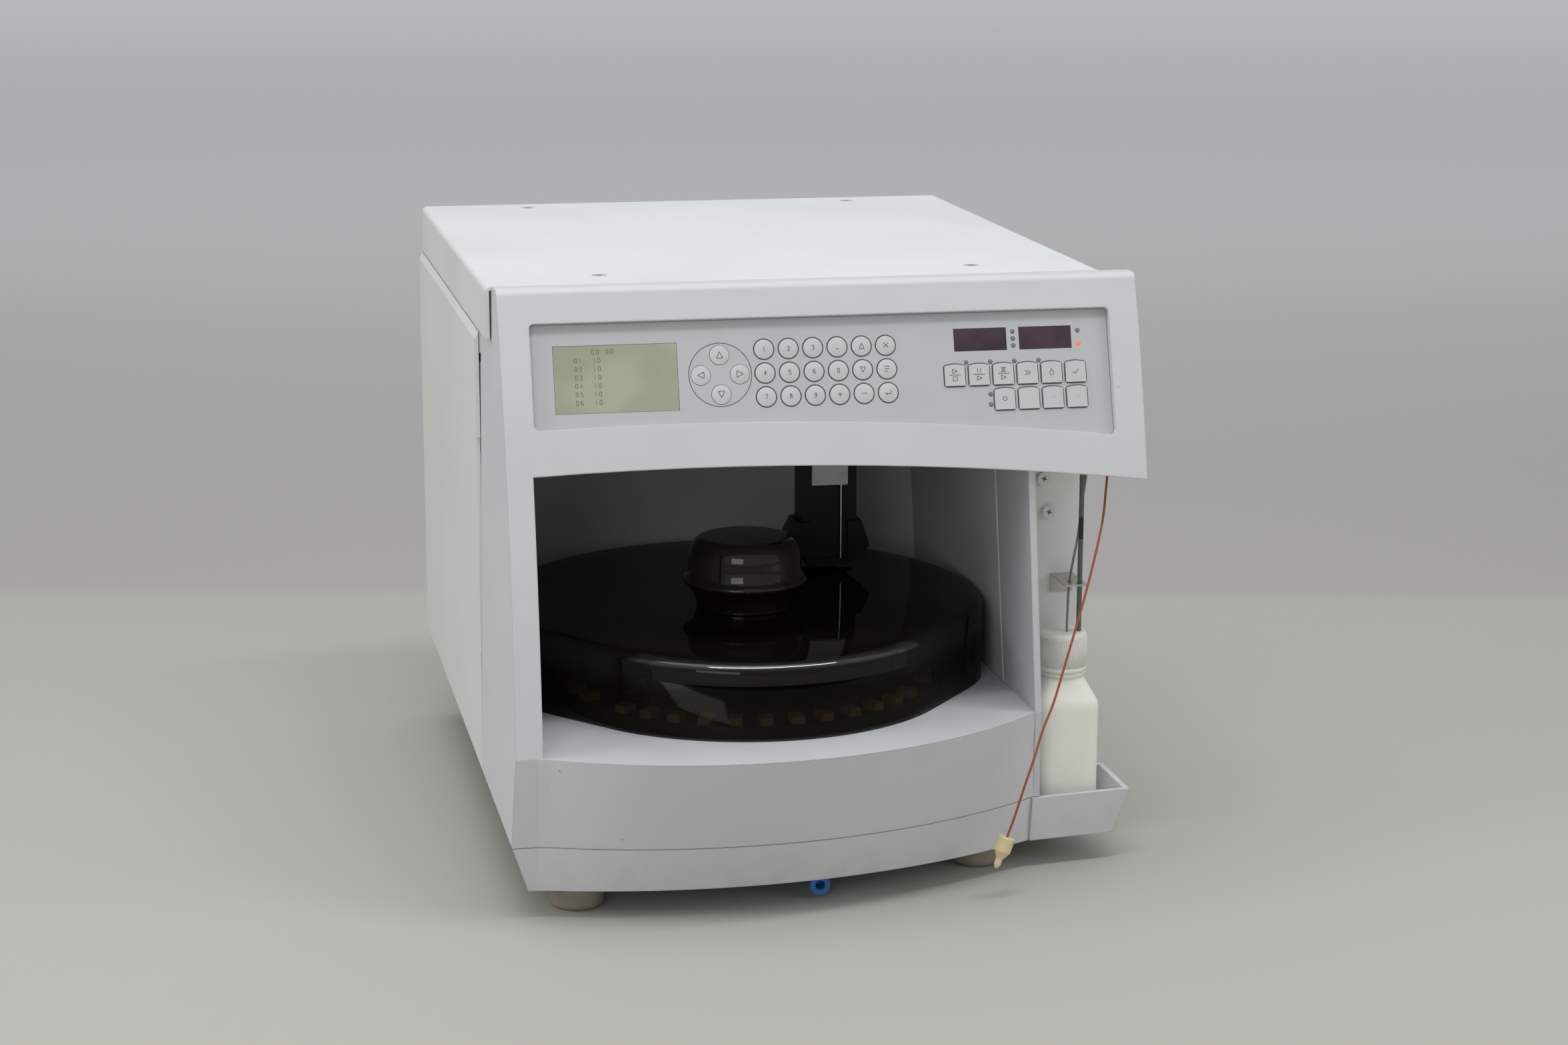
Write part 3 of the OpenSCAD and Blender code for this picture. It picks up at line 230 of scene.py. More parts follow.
topLook = {"colour": paint(222, 225, 224), "dirt": paint(150, 146, 138), "vary": 0.035,
           "drift": 120, "peel": 1.3, "depth": 0.05, "rough": 0.44, "soft": 1.0,
           "streak": 0.07, "streakWide": 14,
           "mark": 0.45, "markEvery": 26, "markWide": 0.7, "markShare": 0.4}
topPaint = sprayedSheet("topPaint", topLook)
# the side panels take a slightly greener, darker copy of the top paint: a painted tint of the light
# from the left
sidePaint = sprayedSheet("sidePaint", dict(topLook, colour=paint(221, 223, 219)))
facePaint = sprayedSheet("facePaint", dict(topLook, colour=paint(231, 231, 227), peel=1.0))


def filmFinish(name, colour):  # printed keypad film with a fine satin texture
    f = Finish(name, IOR=1.5)
    drift = f.noise(45, 3)
    satin = f.noise(0.35, 1)
    touch = f.ramp(f.noise(11, 3), 0.5, 0.8)  # fingers leave a faint shine
    tone = f.mix(f.ramp(drift, 0.3, 0.7), shade(colour, 0.97), colour)
    f.relief(satin, 0.02, 0.4)
    return f.finish(tone, 0.46 - touch * 0.12)


keypadFilm = filmFinish("keypadFilm", paint(191, 192, 194))
keyFilm = filmFinish("keyFilm", paint(201, 202, 203))


def inkFinish(name, colour):  # printed ink, a little thin in places
    f = Finish(name, IOR=1.45)
    thin = f.ramp(f.noise(0.5, 3), 0.45, 0.8)
    return f.finish(f.mix(thin * 0.35, colour, shade(colour, 1.9)), thin * 0.2 + 0.5)


lineInk = inkFinish("lineInk", paint(84, 84, 90))
glyphInk = inkFinish("glyphInk", paint(78, 80, 84))


# finishes of the bay and the bottle
def smokedAcrylic(name, look):  # dark see-through plastic with dust on it, clearer low down
    f = Finish(name, IOR=1.49, Specular_IOR_Level=look["gloss"], Coat_IOR=2.0, Coat_Roughness=0.03)
    dust = f.specks(3.1, 0.24, 0.4) + f.specks(7.3, 0.5, 0.3)
    haze = f.ramp(f.noise(38, 4), 0.42, 0.75)
    rub = f.ramp(f.noise(3, 5, (0.12, 1.0, 1.0)), 0.6, 0.8)
    tone = f.mix(haze * 0.25, look["colour"], shade(look["colour"], 1.7))
    tone = f.mix(dust * look["dust"], tone, look["dustColour"])
    high = f.along("Z", look["clearTo"], look["darkFrom"])
    f.drive("Alpha", high * (look["dense"] - look["thin"]) + look["thin"])
    if look["edge"]:
        f.drive("Coat Weight", gripShine(f, look["edge"], high))
    f.relief(rub, 0.01, 0.15)
    return f.finish(tone, dust * 0.4 + haze * 0.05 + rub * 0.03 + look["rough"])


def gripShine(f, edge, high):  # the rounding along the grip is polished, the rest less
    x = f.axis("X") - edge["x"] * mm
    y = f.axis("Y") - edge["y"] * mm
    reach = f.ramp((x * x + y * y) ** 0.5, edge["from"] * mm, edge["to"] * mm)
    front = f.along("Y", edge["front"], edge["front"] - edge["fade"])
    above = f.along("Z", edge["low"], edge["low"] + edge["rise"])
    shine = high * (edge["top"] - edge["wall"]) + edge["wall"]
    return shine + reach * front * above * (1 - shine)


gripLook = {"x": -31, "y": -84, "from": 130, "to": 133, "front": -181, "fade": 8, "low": 157.3,
            "rise": 2, "top": 0.18, "wall": 0.07}
coverLook = {"colour": (0.0045, 0.0036, 0.0028, 1), "gloss": 0.03, "rough": 0.035, "dust": 0.12,
             "dustColour": paint(120, 116, 108), "thin": 0.58, "dense": 0.9,
             "clearTo": 138, "darkFrom": 152, "edge": gripLook}
knobLook = dict(coverLook, colour=(0.012, 0.008, 0.005, 1), gloss=0.5, dust=0.08, thin=0.9,
                dense=0.94, edge=None)
coverAcrylic = smokedAcrylic("coverAcrylic", coverLook)
knobAcrylic = smokedAcrylic("knobAcrylic", knobLook)


def blackMetal(name, colour, rough):  # black anodised metal with a drawn grain
    f = Finish(name, Specular_IOR_Level=0.25)
    drawn = f.noise(1.2, 4, (1.0, 1.0, 0.05))
    worn = f.ramp(f.noise(5, 5), 0.6, 0.8)
    tone = f.mix(worn * 0.5, colour, shade(colour, 3.2))
    f.relief(drawn, 0.02, 0.3)
    return f.finish(tone, drawn * 0.15 + worn * 0.15 + rough)


armBlack = blackMetal("armBlack", paint(8, 8, 9), 0.34)


def drawnSteel(name, colour, rough, along=(1.0, 1.0, 0.04)):  # bright metal with drawing marks
    f = Finish(name, Metallic=1.0)
    drawn = f.noise(0.8, 4, along)
    dull = f.ramp(f.noise(9, 4), 0.4, 0.75)
    f.relief(drawn, 0.01, 0.3)
    tone = f.mix(dull * 0.4, colour, shade(colour, 0.72))
    return f.finish(tone, drawn * 0.16 + dull * 0.12 + rough)


rodSteel = drawnSteel("rodSteel", paint(205, 206, 208), 0.14)
clipSteel = drawnSteel("clipSteel", paint(196, 194, 188), 0.24)
screwSteel = drawnSteel("screwSteel", paint(226, 226, 224), 0.42, (1.0, 1.0, 1.0))
hubAluminium = drawnSteel("hubAluminium", paint(190, 192, 194), 0.3, (1.0, 0.2, 1.0))
motorSteel = drawnSteel("motorSteel", paint(120, 122, 126), 0.35)


# rubber, nylon and milky plastic, in a band of heights of another colour if one is given
def softPlastic(name, colour, rough, grain=0.8, deep=0.03, weight=0.0, band=None, vary=0.12):
    f = Finish(name, IOR=1.5, Subsurface_Weight=weight, Subsurface_Scale=0.004,
               Subsurface_Radius=(1.0, 0.95, 0.85))
    drift = f.noise(18, 4)
    fine = f.noise(grain, 2)
    tone = f.mix(f.ramp(drift, 0.3, 0.75), colour, shade(colour, 1 - vary))
    tone = f.mix(f.specks(8, 0.4, 0.3) * 0.4, tone, shade(colour, 0.5))
    if band:
        soft = 0.2
        above = f.along("Z", band["low"], band["low"] + soft)
        below = f.along("Z", band["high"] + soft, band["high"])
        tone = f.mix(above * below, tone, band["colour"])
    f.relief(fine, deep, 0.5)
    return f.finish(tone, f.ramp(drift, 0.2, 0.8) * 0.12 + rough)


rackBand = {"colour": paint(86, 74, 54), "low": 80.0, "high": 118.0}
sleeveBand = {"colour": paint(24, 25, 25), "low": 214.5, "high": 229.0}
footRubber = softPlastic("footRubber", paint(150, 141, 126), 0.3, 1.2, 0.03)
sliderNylon = softPlastic("sliderNylon", paint(226, 226, 222), 0.42)
rackYellow = softPlastic("rackYellow", paint(242, 190, 96), 0.5, band=rackBand)
bottleMilky = softPlastic("bottleMilky", paint(238, 238, 229), 0.4, 1.5, 0.05, 0.5, vary=0.03)
capMilky = softPlastic("capMilky", paint(244, 243, 235), 0.42, 0.9, 0.03, 0.35, vary=0.04)
fittingCream = softPlastic("fittingCream", paint(224, 207, 166), 0.38, 0.5, 0.02, 0.2)
drainBlue = softPlastic("drainBlue", paint(58, 122, 196), 0.35)
tubeRed = softPlastic("tubeRed", paint(158, 82, 66), 0.36, 0.4, 0.01, 0.1)
tubeGreen = softPlastic("tubeGreen", paint(92, 104, 92), 0.3, 0.4, 0.01, band=sleeveBand)
tubeGrey = softPlastic("tubeGrey", paint(128, 130, 126), 0.26, 0.4, 0.01)
boardDark = softPlastic("boardDark", paint(52, 50, 52), 0.5)
# grey for the flat crosses on the screws, painted shade of their recesses
recessGrey = softPlastic("recessGrey", paint(112, 111, 110), 0.5)
print("finishes made")


# small builders
def addPiece(name, mesh, finish, body="housing", smooth=True):
    piece = bpy.data.objects.new(name, mesh)
    scene.collection.objects.link(piece)
    mesh.materials.clear()
    mesh.materials.append(finish)
    for face in mesh.polygons:
        face.use_smooth = smooth
    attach(piece, body)
    return piece


def meshFrom(name, form):
    mesh = bpy.data.meshes.new(name)
    form.to_mesh(mesh)
    form.free()
    return mesh


def meshOf(obj):  # the evaluated result as a plain mesh, the helper object goes
    bpy.context.view_layer.update()
    grown = obj.evaluated_get(bpy.context.evaluated_depsgraph_get())
    mesh = bpy.data.meshes.new_from_object(grown)
    bpy.data.objects.remove(obj)
    return mesh


def arcLine(x, y, r, start, sweep, steps):  # points on an arc, in degrees
    turns = [radians(start + sweep * s / steps) for s in range(steps + 1)]
    return [(x + r * cos(t), y + r * sin(t)) for t in turns]


def circleLine(x, y, r, steps=48):
    return arcLine(x, y, r, 0, 360, steps)[:-1]


def circleRings(middle, rows, count):  # level rings, each from a radius and a height
    return [[(x, y, z) for x, y in circleLine(middle.x, middle.y, r, count)] for r, z in rows]


def ringMesh(name, rings):  # rings of points from below, joined and closed at both ends
    form = bmesh.new()
    loops = [[form.verts.new(place) for place in ring] for ring in rings]
    for lower, upper in zip(loops, loops[1:]):
        for i in range(len(lower)):
            j = (i + 1) % len(lower)
            form.faces.new((lower[i], lower[j], upper[j], upper[i]))
    form.faces.new(loops[0][::-1])
    form.faces.new(loops[-1])
    return meshFrom(name, form)


def roundCurve(name, lines, width, resolution, closed=False):  # round lines through points
    curve = bpy.data.curves.new(name, "CURVE")
    curve.dimensions = "3D"
    curve.bevel_depth = width / 2
    curve.bevel_resolution = resolution
    curve.use_fill_caps = True
    for line in lines:
        spline = curve.splines.new("POLY")
        spline.points.add(len(line) - 1)
        for point, place in zip(spline.points, line):
            point.co = (*place, 1)
        spline.use_cyclic_u = closed
    obj = bpy.data.objects.new(name, curve)
    scene.collection.objects.link(obj)
    return obj


def smoothRoute(points, steps):  # the same easy curve through the points as in the solids
    route = []
    last = len(points) - 1
    for i in range(last):
        a, b, c, d = [Vector(points[max(0, min(last, i + k))]) for k in (-1, 0, 1, 2)]
        for s in range(steps):
            t = s / steps
            square = (2 * a - 5 * b + 4 * c - d) * t * t
            cube = (3 * b - a - 3 * c + d) * t ** 3
            route.append(0.5 * (2 * b + (c - a) * t + square + cube))
    route.append(Vector(points[-1]))
    return [p * mm for p in route]


def makeTube(name, look, finish):
    route = smoothRoute(look["points"], look["steps"])
    tube = roundCurve(name, [route], look["width"] * mm, 4)
    tube.data.materials.append(finish)
    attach(tube, "housing")
    return tube, sum((b - a).length for a, b in zip(route, route[1:])), route[0]


# tubes, each from its upper end
capillaryLook = {"width": 1.6, "steps": 4, "points": [
    (189, -170, 274), (189, -170, 268), (189, -171, 262), (186, -178, 252), (181, -190, 240),
    (175, -200, 226), (167, -208, 203), (160, -213, 183), (149, -218, 150), (141, -221, 126),
    (134, -223, 110), (128, -225, 92), (121, -227, 73), (115, -228, 55), (110, -229, 42)]}
capTop = 152.5
stoutLook = {"width": 3.2, "steps": 3, "points": [
    (180, -147, 274), (180, -147, 250), (180, -147, 200), (180, -147, capTop)]}
thinLook = {"width": 1.6, "steps": 3, "points": [
    (184, -143, 274), (184, -143, 258.2), (182.5, -142.2, 243.6), (181, -141.5, 227.8),
    (179.5, -141.1, 213.3), (177.1, -141, 199.9), (175.1, -141.2, 187.7), (173.9, -142, 178),
    (173.2, -143.6, 169.5), (172.4, -145.6, 162.8), (171.9, -147, 158), (171.7, -147.5, 154.9),
    (171.7, -147.5, capTop)]}

capillary, capillaryLength, capillaryExit = makeTube("redCapillary", capillaryLook, tubeRed)
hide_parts("capillary")
for name, look, finish in (("stoutTube", stoutLook, tubeGreen), ("thinTube", thinLook, tubeGrey)):
    tube, length, start = makeTube(name, look, finish)
    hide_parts("wash_tubes")
    look["width"] * mm
print("tubes made, capillary", round(capillaryLength, 3), "m")

# finishes on the solids, the keys take the one for keys
coats = {
    "front_bezel": shellPlastic, "keypad_overlay": keypadFilm, "display_board": boardDark,
    "top_cover": topPaint, "left_side_panel": sidePaint, "right_side_panel": sidePaint,
    "chassis": facePaint, "base_tray": basePlastic, "feet": footRubber,
    "chamber_liner": linerPlastic, "tray_motor": motorSteel, "carousel_hub": hubAluminium,
    "tray_segments": rackYellow, "dome_cover": coverAcrylic, "cover_knob": knobAcrylic,
    "arm_rail": rodSteel, "needle_arm": armBlack, "needle_slider": sliderNylon,
    "injection_needle": rodSteel, "wash_bottle": bottleMilky, "bottle_cap": capMilky,
    "wash_tubes": tubeGreen, "tube_clip": clipSteel, "capillary": tubeRed,
    "capillary_fitting": fittingCream, "drain_fitting": drainBlue, "panel_screws": screwSteel}
for name, obj in nodes.items():
    for place in obj.material_slots:
        place.material = coats.get(name, keyFilm)
print("finishes on the solids")

# mouldings whose bowed fronts are smooth: the solid's own shape, welded
bowLook = {"weld": 0.001, "below": 111.0, "facing": -0.5, "turn": 9.0}


def bowedPiece(name, node, look):
    mesh = nodes[node].data.copy()
    form = bmesh.new()
    form.from_mesh(mesh)
    bmesh.ops.remove_doubles(form, verts=form.verts, dist=look["weld"] * mm)
    form.normal_update()
    low = [face for face in form.faces if face.calc_center_median().z < look["below"] * mm]
    bowed = {face for face in low if face.normal.y < look["facing"]}
    turn = cos(radians(look["turn"]))
    normals = []
    for face in form.faces:
        for corner in face.loops:
            mean = face.normal
            if face in bowed:  # the mean of the bowed faces that meet here at a small turn
                around = [c for c in corner.vert.link_loops if c.face in bowed]
                near = [c for c in around if c.face.normal.dot(face.normal) > turn]
                mean = sum((c.face.normal * c.calc_angle() for c in near), Vector())
            normals.append(mean.normalized())
    form.to_mesh(mesh)
    form.free()
    piece = addPiece(name, mesh, coats[node])
    mesh.normals_split_custom_set(normals)
    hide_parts(node)


bowedPiece("frontMoulding", "front_bezel", bowLook)
bowedPiece("baseMoulding", "base_tray", bowLook)
print("bowed fronts made smooth")

# keypad frame: right, up and out of the panel
pressAxis = next(j["axis"] for j in frame["joints"] if j["name"] == "press_round_1")
panelOut = -Vector(pressAxis).normalized()
panelRight = Vector((1, 0, 0))
panelUp = panelOut.cross(panelRight)
panelLook = {"firstKeyUp": 11.7, "keyProud": 1.0, "domeBend": 26.4, "line": 0.5, "lineLift": 0.02,
             "glyph": 0.44, "glyphLift": 0.01, "glyphStep": 0.4, "dotShare": 2.6, "flat": 0.16}


def panelSpan(name):
    spots = [v.co for v in nodes[name].data.vertices]
    spans = [[p.dot(a) for p in spots] for a in (panelRight, panelUp, panelOut)]
    return [min(span) for span in spans], [max(span) for span in spans]


def keyMiddle(name):
    low, high = panelSpan(name)
    return (low[0] + high[0]) / 2, (low[1] + high[1]) / 2, high[2]


firstKey = keyMiddle("key_round_1")
panelZero = {"up": firstKey[1] - panelLook["firstKeyUp"] * mm,
             "out": firstKey[2] - panelLook["keyProud"] * mm}


def onPanel(u, v, w):  # metres on the keypad to the shared frame
    return panelRight * u + panelUp * (panelZero["up"] + v) + panelOut * (panelZero["out"] + w)


def finer(line, step):  # the same line in short steps
    fine = [line[0]]
    for (x, y), (nextX, nextY) in zip(line, line[1:]):
        count = max(1, ceil(hypot(nextX - x, nextY - y) / step))
        for i in range(1, count + 1):
            fine.append((x + (nextX - x) * i / count, y + (nextY - y) * i / count))
    return fine


def printOnPanel(name, lines, width, finish, lift, closed=False, body="housing", middle=None, bend=0.0):
    flat = [[(x * mm, y * mm, 0.0) for x, y in line] for line in lines]
    mesh = meshOf(roundCurve(name, flat, width * mm, 2, closed))
    for v in mesh.vertices:
        w = lift + v.co.z * panelLook["flat"]
        if bend:  # the key's top is a shallow dome
            away = (v.co.x - middle[0]) ** 2 + (v.co.y - middle[1]) ** 2
            w -= bend - sqrt(bend * bend - away)
        v.co = onPanel(v.co.x, v.co.y, w)
    mesh.update()
    return addPiece(name, mesh, finish, body)


# printed lines round the keys
roundKeys = ["key_round_%d" % (i + 1) for i in range(18)]
arrowKeys = ["key_arrow_%d" % (i + 1) for i in range(4)]
squareKeys = ["key_square_%d" % (i + 1) for i in range(10)]
ringLook = {"roundR": 6.55, "arrowMiddle": (-65.7, -3.3), "arrowR": 19.7, "arrowSteps": 96,
            "squareGrow": 0.55, "squareCorner": 2.0, "squareRise": 0.7}


def placeOf(name):  # a key's middle in panel millimetres
    u, v, w = keyMiddle(name)
    return u / mm, (v - panelZero["up"]) / mm


def squareLine(name, look):  # arched top, rounded corners
    low, high = panelSpan(name)
    grow = look["squareGrow"]
    corner = look["squareCorner"]
    rise = look["squareRise"]
    left = low[0] / mm - grow + corner
    right = high[0] / mm + grow - corner
    foot = (low[1] - panelZero["up"]) / mm - grow + corner
    shoulder = (high[1] - panelZero["up"]) / mm + grow - rise
    line = []
    for u, v, start in ((right, foot, -90), (right, shoulder - corner, 0),
                        (left, shoulder - corner, 90), (left, foot, 180)):
        line += arcLine(u, v, corner, start, 90, 6)
        if start == 0:  # the arch between the upper corners
            for s in range(1, 8):
                t = s / 8
                line.append((right + (left - right) * t, shoulder + rise * 4 * t * (1 - t)))
    return line


ringLines = [circleLine(*placeOf(name), ringLook["roundR"]) for name in roundKeys]
ringLines.append(circleLine(*ringLook["arrowMiddle"], ringLook["arrowR"], ringLook["arrowSteps"]))
ringLines += [squareLine(name, ringLook) for name in squareKeys]
printOnPanel("keyLines", ringLines, panelLook["line"], lineInk, panelLook["lineLift"] * mm, True)
print("key lines printed")

# key signs: plain figures and pointers drawn with a pen line, in hundredths of a field
signs = {
    "1": [[(30, 78), (52, 100), (52, 0)]],
    "2": [[(12, 80), (30, 98), (68, 98), (86, 80), (86, 60), (12, 0), (88, 0)]],
    "3": [[(12, 86), (30, 100), (70, 100), (86, 82), (86, 66), (68, 53), (42, 53)],
          [(68, 53), (88, 38), (88, 16), (70, 0), (30, 0), (12, 14)]],
    "4": [[(66, 0), (66, 100), (10, 30), (90, 30)]],
    "5": [[(84, 100), (20, 100), (16, 56), (62, 60), (88, 42), (88, 18), (68, 0), (30, 0), (12, 12)]],
    "6": [[(82, 88), (66, 100), (36, 100), (14, 74), (12, 22), (32, 0), (68, 0), (88, 18), (88, 38),
           (68, 56), (34, 56), (13, 40)]],
    "7": [[(12, 100), (88, 100), (42, 0)]],
    "8": [[(34, 54), (16, 70), (16, 84), (34, 100), (66, 100), (84, 84), (84, 70), (66, 54),
           (34, 54), (12, 36), (12, 16), (32, 0), (68, 0), (88, 16), (88, 36), (66, 54)]],
    "9": [[(16, 12), (32, 0), (62, 0), (86, 26), (88, 78), (68, 100), (32, 100), (12, 82), (12, 62),
           (32, 44), (66, 44), (87, 60)]],
    "0": [[(30, 100), (70, 100), (88, 80), (88, 20), (70, 0), (30, 0), (12, 20), (12, 80), (30, 100)]],
    "point": [[(48, 98), (52, 98)], [(20, 10), (80, 10)]],
    "up": [[(0, 0), (100, 0), (50, 100), (0, 0)]],
    "down": [[(0, 100), (100, 100), (50, 0), (0, 100)]],
    "left": [[(100, 0), (100, 100), (0, 50), (100, 0)]],
    "right": [[(0, 0), (0, 100), (100, 50), (0, 0)]],
    "enter": [[(100, 100), (100, 25), (0, 25)], [(22, 50), (0, 25), (22, 0)]],
    "cross": [[(0, 0), (100, 100)], [(0, 100), (100, 0)]],
    "lines": [[(0, 100), (100, 100)], [(0, 50), (100, 50)], [(0, 0), (60, 0)]],
    "plus": [[(0, 50), (100, 50)], [(50, 0), (50, 100)]],
    "minus": [[(0, 50), (100, 50)]],
    "goStop": [[(30, 64), (30, 100), (72, 82), (30, 64)], [(0, 50), (100, 50)],
               [(32, 0), (68, 0), (68, 36), (32, 36), (32, 0)]],
    "holdGo": [[(38, 64), (38, 100)], [(62, 64), (62, 100)], [(0, 50), (100, 50)],
               [(30, 0), (30, 36), (72, 18), (30, 0)]],
    "waitGo": [[(30, 66), (70, 66), (30, 100), (70, 100), (30, 66)], [(0, 50), (100, 50)],
               [(30, 0), (30, 36), (72, 18), (30, 0)]],
    "fast": [[(10, 10), (50, 50), (10, 90)], [(50, 10), (90, 50), (50, 90)]],
    "drop": [[(50, 100), (22, 50), (20, 28), (36, 6), (64, 6), (80, 28), (78, 50), (50, 100)]],
    "tick": [[(8, 45), (38, 10), (92, 90)]],
    "degree": [arcLine(50, 50, 30, 0, 360, 12)],
    "oneDot": [[(49, 50), (51, 50)]]}
for name, places in (("twoDots", (30, 70)), ("threeDots", (15, 50, 85))):
    signs[name] = [[(x - 1, 50), (x + 1, 50)] for x in places]
roundSigns = ("1", "2", "3", "point", "up", "cross", "4", "5", "6", "0", "down", "lines",
              "7", "8", "9", "plus", "minus", "enter")
arrowSigns = ("up", "left", "down", "right")
pairSigns = ("goStop", "holdGo", "waitGo")
iconSigns = ("fast", "drop", "tick", "degree", "oneDot", "twoDots", "threeDots")
signSizes = {"figure": (1.7, 2.7), "pointer": (3.2, 3.2), "arrow": (4.0, 4.0), "pair": (7.4, 7.4),
             "icon": (4.4, 4.0)}


def signLines(sign, left, foot, wide, high):  # a sign's lines in a field on the panel
    lines = signs.get(sign, [])
    return [[(left + x / 100 * wide, foot + y / 100 * high) for x, y in line] for line in lines]


def printSign(name, sign, kind):
    u, v = placeOf(name)
    wide, high = signSizes[kind]
    lines = signLines(sign, u - wide / 2, v - high / 2, wide, high)
    lines = [finer(line, panelLook["glyphStep"]) for line in lines]
    pen = panelLook["glyph"] * (panelLook["dotShare"] if "Dot" in sign else 1.0)
    bend = 0.0 if name in squareKeys else panelLook["domeBend"] * mm
    lift = keyMiddle(name)[2] - panelZero["out"] + panelLook["glyphLift"] * mm
    printOnPanel("sign_" + name, lines, pen, glyphInk, lift, body=name + "_body",
                 middle=(u * mm, v * mm), bend=bend)


for name, sign in zip(roundKeys, roundSigns):
    printSign(name, sign, "figure" if sign.isdigit() else "pointer")
for name, sign in zip(arrowKeys, arrowSigns):
    printSign(name, sign, "arrow")
for name, sign in zip(squareKeys, pairSigns + iconSigns):
    printSign(name, sign, "pair" if sign in pairSigns else "icon")
print("key signs printed")

# windows of the display
# the sweep colour is a painted reflection on the display
windowLook = {"front": -0.15, "thick": 0.5, "ground": paint(166, 171, 148),
              "drift": paint(158, 165, 142), "sweep": paint(190, 194, 176),
              "rows": paint(138, 148, 120), "smoke": paint(58, 46, 56), "smokeDrift": paint(74, 58, 66)}


def paneMesh(name, middle, size, corner):  # thin plate with rounded corners
    line = []
    for sideX, sideY, start in ((1, -1, -90), (1, 1, 0), (-1, 1, 90), (-1, -1, 180)):
        x = middle[0] + sideX * (size[0] / 2 - corner)
        y = middle[1] + sideY * (size[1] / 2 - corner)
        line += arcLine(x, y, corner, start, 90, 3)
    depths = (windowLook["front"] - windowLook["thick"], windowLook["front"])
    return ringMesh(name, [[onPanel(x * mm, y * mm, w * mm) for x, y in line] for w in depths])


def displayGlass(name, look):  # olive display with faint cell rows and a pale sweep, the sweep a painted reflection
    f = Finish(name, IOR=1.5, Coat_Weight=0.2, Coat_Roughness=0.02)
    drift = f.noise(60, 2)
    # painted reflection: a pale sweep of lighter colour across the display
    sweep = f.ramp(f.noise(75, 1, (1.0, 1.0, 2.2)), 0.5, 0.62)
    waves = {"Vector": f.place, "Scale": 300.0}
    rows = f.node("ShaderNodeTexWave", {"bands_direction": "Z"}, waves)
    tone = f.mix(f.ramp(drift, 0.3, 0.7), look["ground"], look["drift"])
    tone = f.mix(sweep * 0.35, tone, look["sweep"])
    tone = f.mix(rows * 0.06, tone, look["rows"])
    return f.finish(tone, drift * 0.06 + 0.1)


def smokedWindow(name, look):  # dark number window
    f = Finish(name, IOR=1.45)
    drift = f.noise(22, 2)
    tone = f.mix(f.ramp(drift, 0.35, 0.65), look["smoke"], look["smokeDrift"])
    return f.finish(tone, drift * 0.06 + 0.07)


greenGlass = displayGlass("displayGlass", windowLook)
numberGlass = smokedWindow("numberGlass", windowLook)
panes = {  # middle, size, corner and finish
    "displayPane": ((-130.5, -3.5), (76.6, 41.6), 0.6, greenGlass),
    "numberPane_1": ((101.3, 13.5), (33.9, 14.0), 0.4, numberGlass),
    "numberPane_2": ((143.7, 13.5), (33.9, 14.0), 0.4, numberGlass)}
for name, (middle, size, corner, finish) in panes.items():
    pane = addPiece(name, paneMesh(name, middle, size, corner), finish, smooth=False)

# rows of plain figures on the display, the first set in
readoutLook = {"rows": ("00:00", "01  10", "02  10", "03  10", "04  10", "05  10", "06  10"),
               "high": 2.7, "wide": 1.8, "pitch": 2.9, "leading": 5.2, "line": 0.4, "lift": 0.01,
               "start": (-156.0, 12.0), "firstIn": 11, "colon": (0.8, 0.9), "colonUp": (0.6, 1.9)}


def readoutLines(look):
    lines = []
    for r, row in enumerate(look["rows"]):
        for c, sign in enumerate(row):
            u = look["start"][0] + c * look["pitch"] + (look["firstIn"] if r == 0 else 0)
            v = look["start"][1] - r * look["leading"]
            lines += signLines(sign, u, v, look["wide"], look["high"])
            if sign == ":":
                lines += [[(u + x, v + y) for x in look["colon"]] for y in look["colonUp"]]
    return lines


readoutInk = inkFinish("readoutInk", paint(96, 108, 84))
readoutLift = (windowLook["front"] + readoutLook["lift"]) * mm
printOnPanel("displayFigures", readoutLines(readoutLook), readoutLook["line"], readoutInk, readoutLift)


# geometry nodes: one shape on many points
def growTree(name, settings):
    group = bpy.data.node_groups.new(name, "GeometryNodeTree")
    group.interface.new_socket("Geometry", in_out="INPUT", socket_type="NodeSocketGeometry")
    kinds = {float: "NodeSocketFloat", int: "NodeSocketInt", tuple: "NodeSocketVector",
             bpy.types.Material: "NodeSocketMaterial"}
    for key, value in settings.items():
        group.interface.new_socket(key, in_out="INPUT", socket_type=kinds[type(value)])
    group.interface.new_socket("Geometry", in_out="OUTPUT", socket_type="NodeSocketGeometry")
    tree = Tree(group)
    start = group.nodes.new("NodeGroupInput")
    inputs = {socket.name: Link(tree, socket) for socket in start.outputs if socket.name}
    return tree, inputs


def closeTree(tree, shape, finish):
    real = tree.node("GeometryNodeRealizeInstances", {}, {"Geometry": shape})
    coated = tree.node("GeometryNodeSetMaterial", {}, {"Geometry": real, "Material": finish})
    tree.node("NodeGroupOutput", {}, {"Geometry": coated})
    return tree.tree


def growPiece(name, points, group, settings, smooth=True):
    mesh = bpy.data.meshes.new(name)
    mesh.from_pydata([tuple(p) for p in points], [], [])
    seed = bpy.data.objects.new(name, mesh)
    scene.collection.objects.link(seed)
    modifier = seed.modifiers.new("grow", "NODES")
    modifier.node_group = group
    for item in group.interface.items_tree:
        if item.item_type == "SOCKET" and item.in_out == "INPUT" and item.name in settings:
            modifier[item.identifier] = settings[item.name]
    return addPiece(name, meshOf(seed), settings["Material"], smooth=smooth)


# lamp lenses
lampLook = {"sunk": 0.1, "litPlace": (165.2, 9), "places": (
    (122.6, 17.9), (122.6, 13.5), (122.6, 9), (165.2, 17.4), (91.3, -0.8), (107.1, -0.8),
    (122.9, -0.8), (138.6, -0.8), (106, -21.3), (106, -27.7))}


def lampFinish(name, colour, glow):
    f = Finish(name, IOR=1.5, Emission_Color=colour, Emission_Strength=glow)
    ring = f.noise(0.9, 1)
    return f.finish(f.mix(ring * 0.4, colour, shade(colour, 0.7)), ring * 0.1 + 0.2)


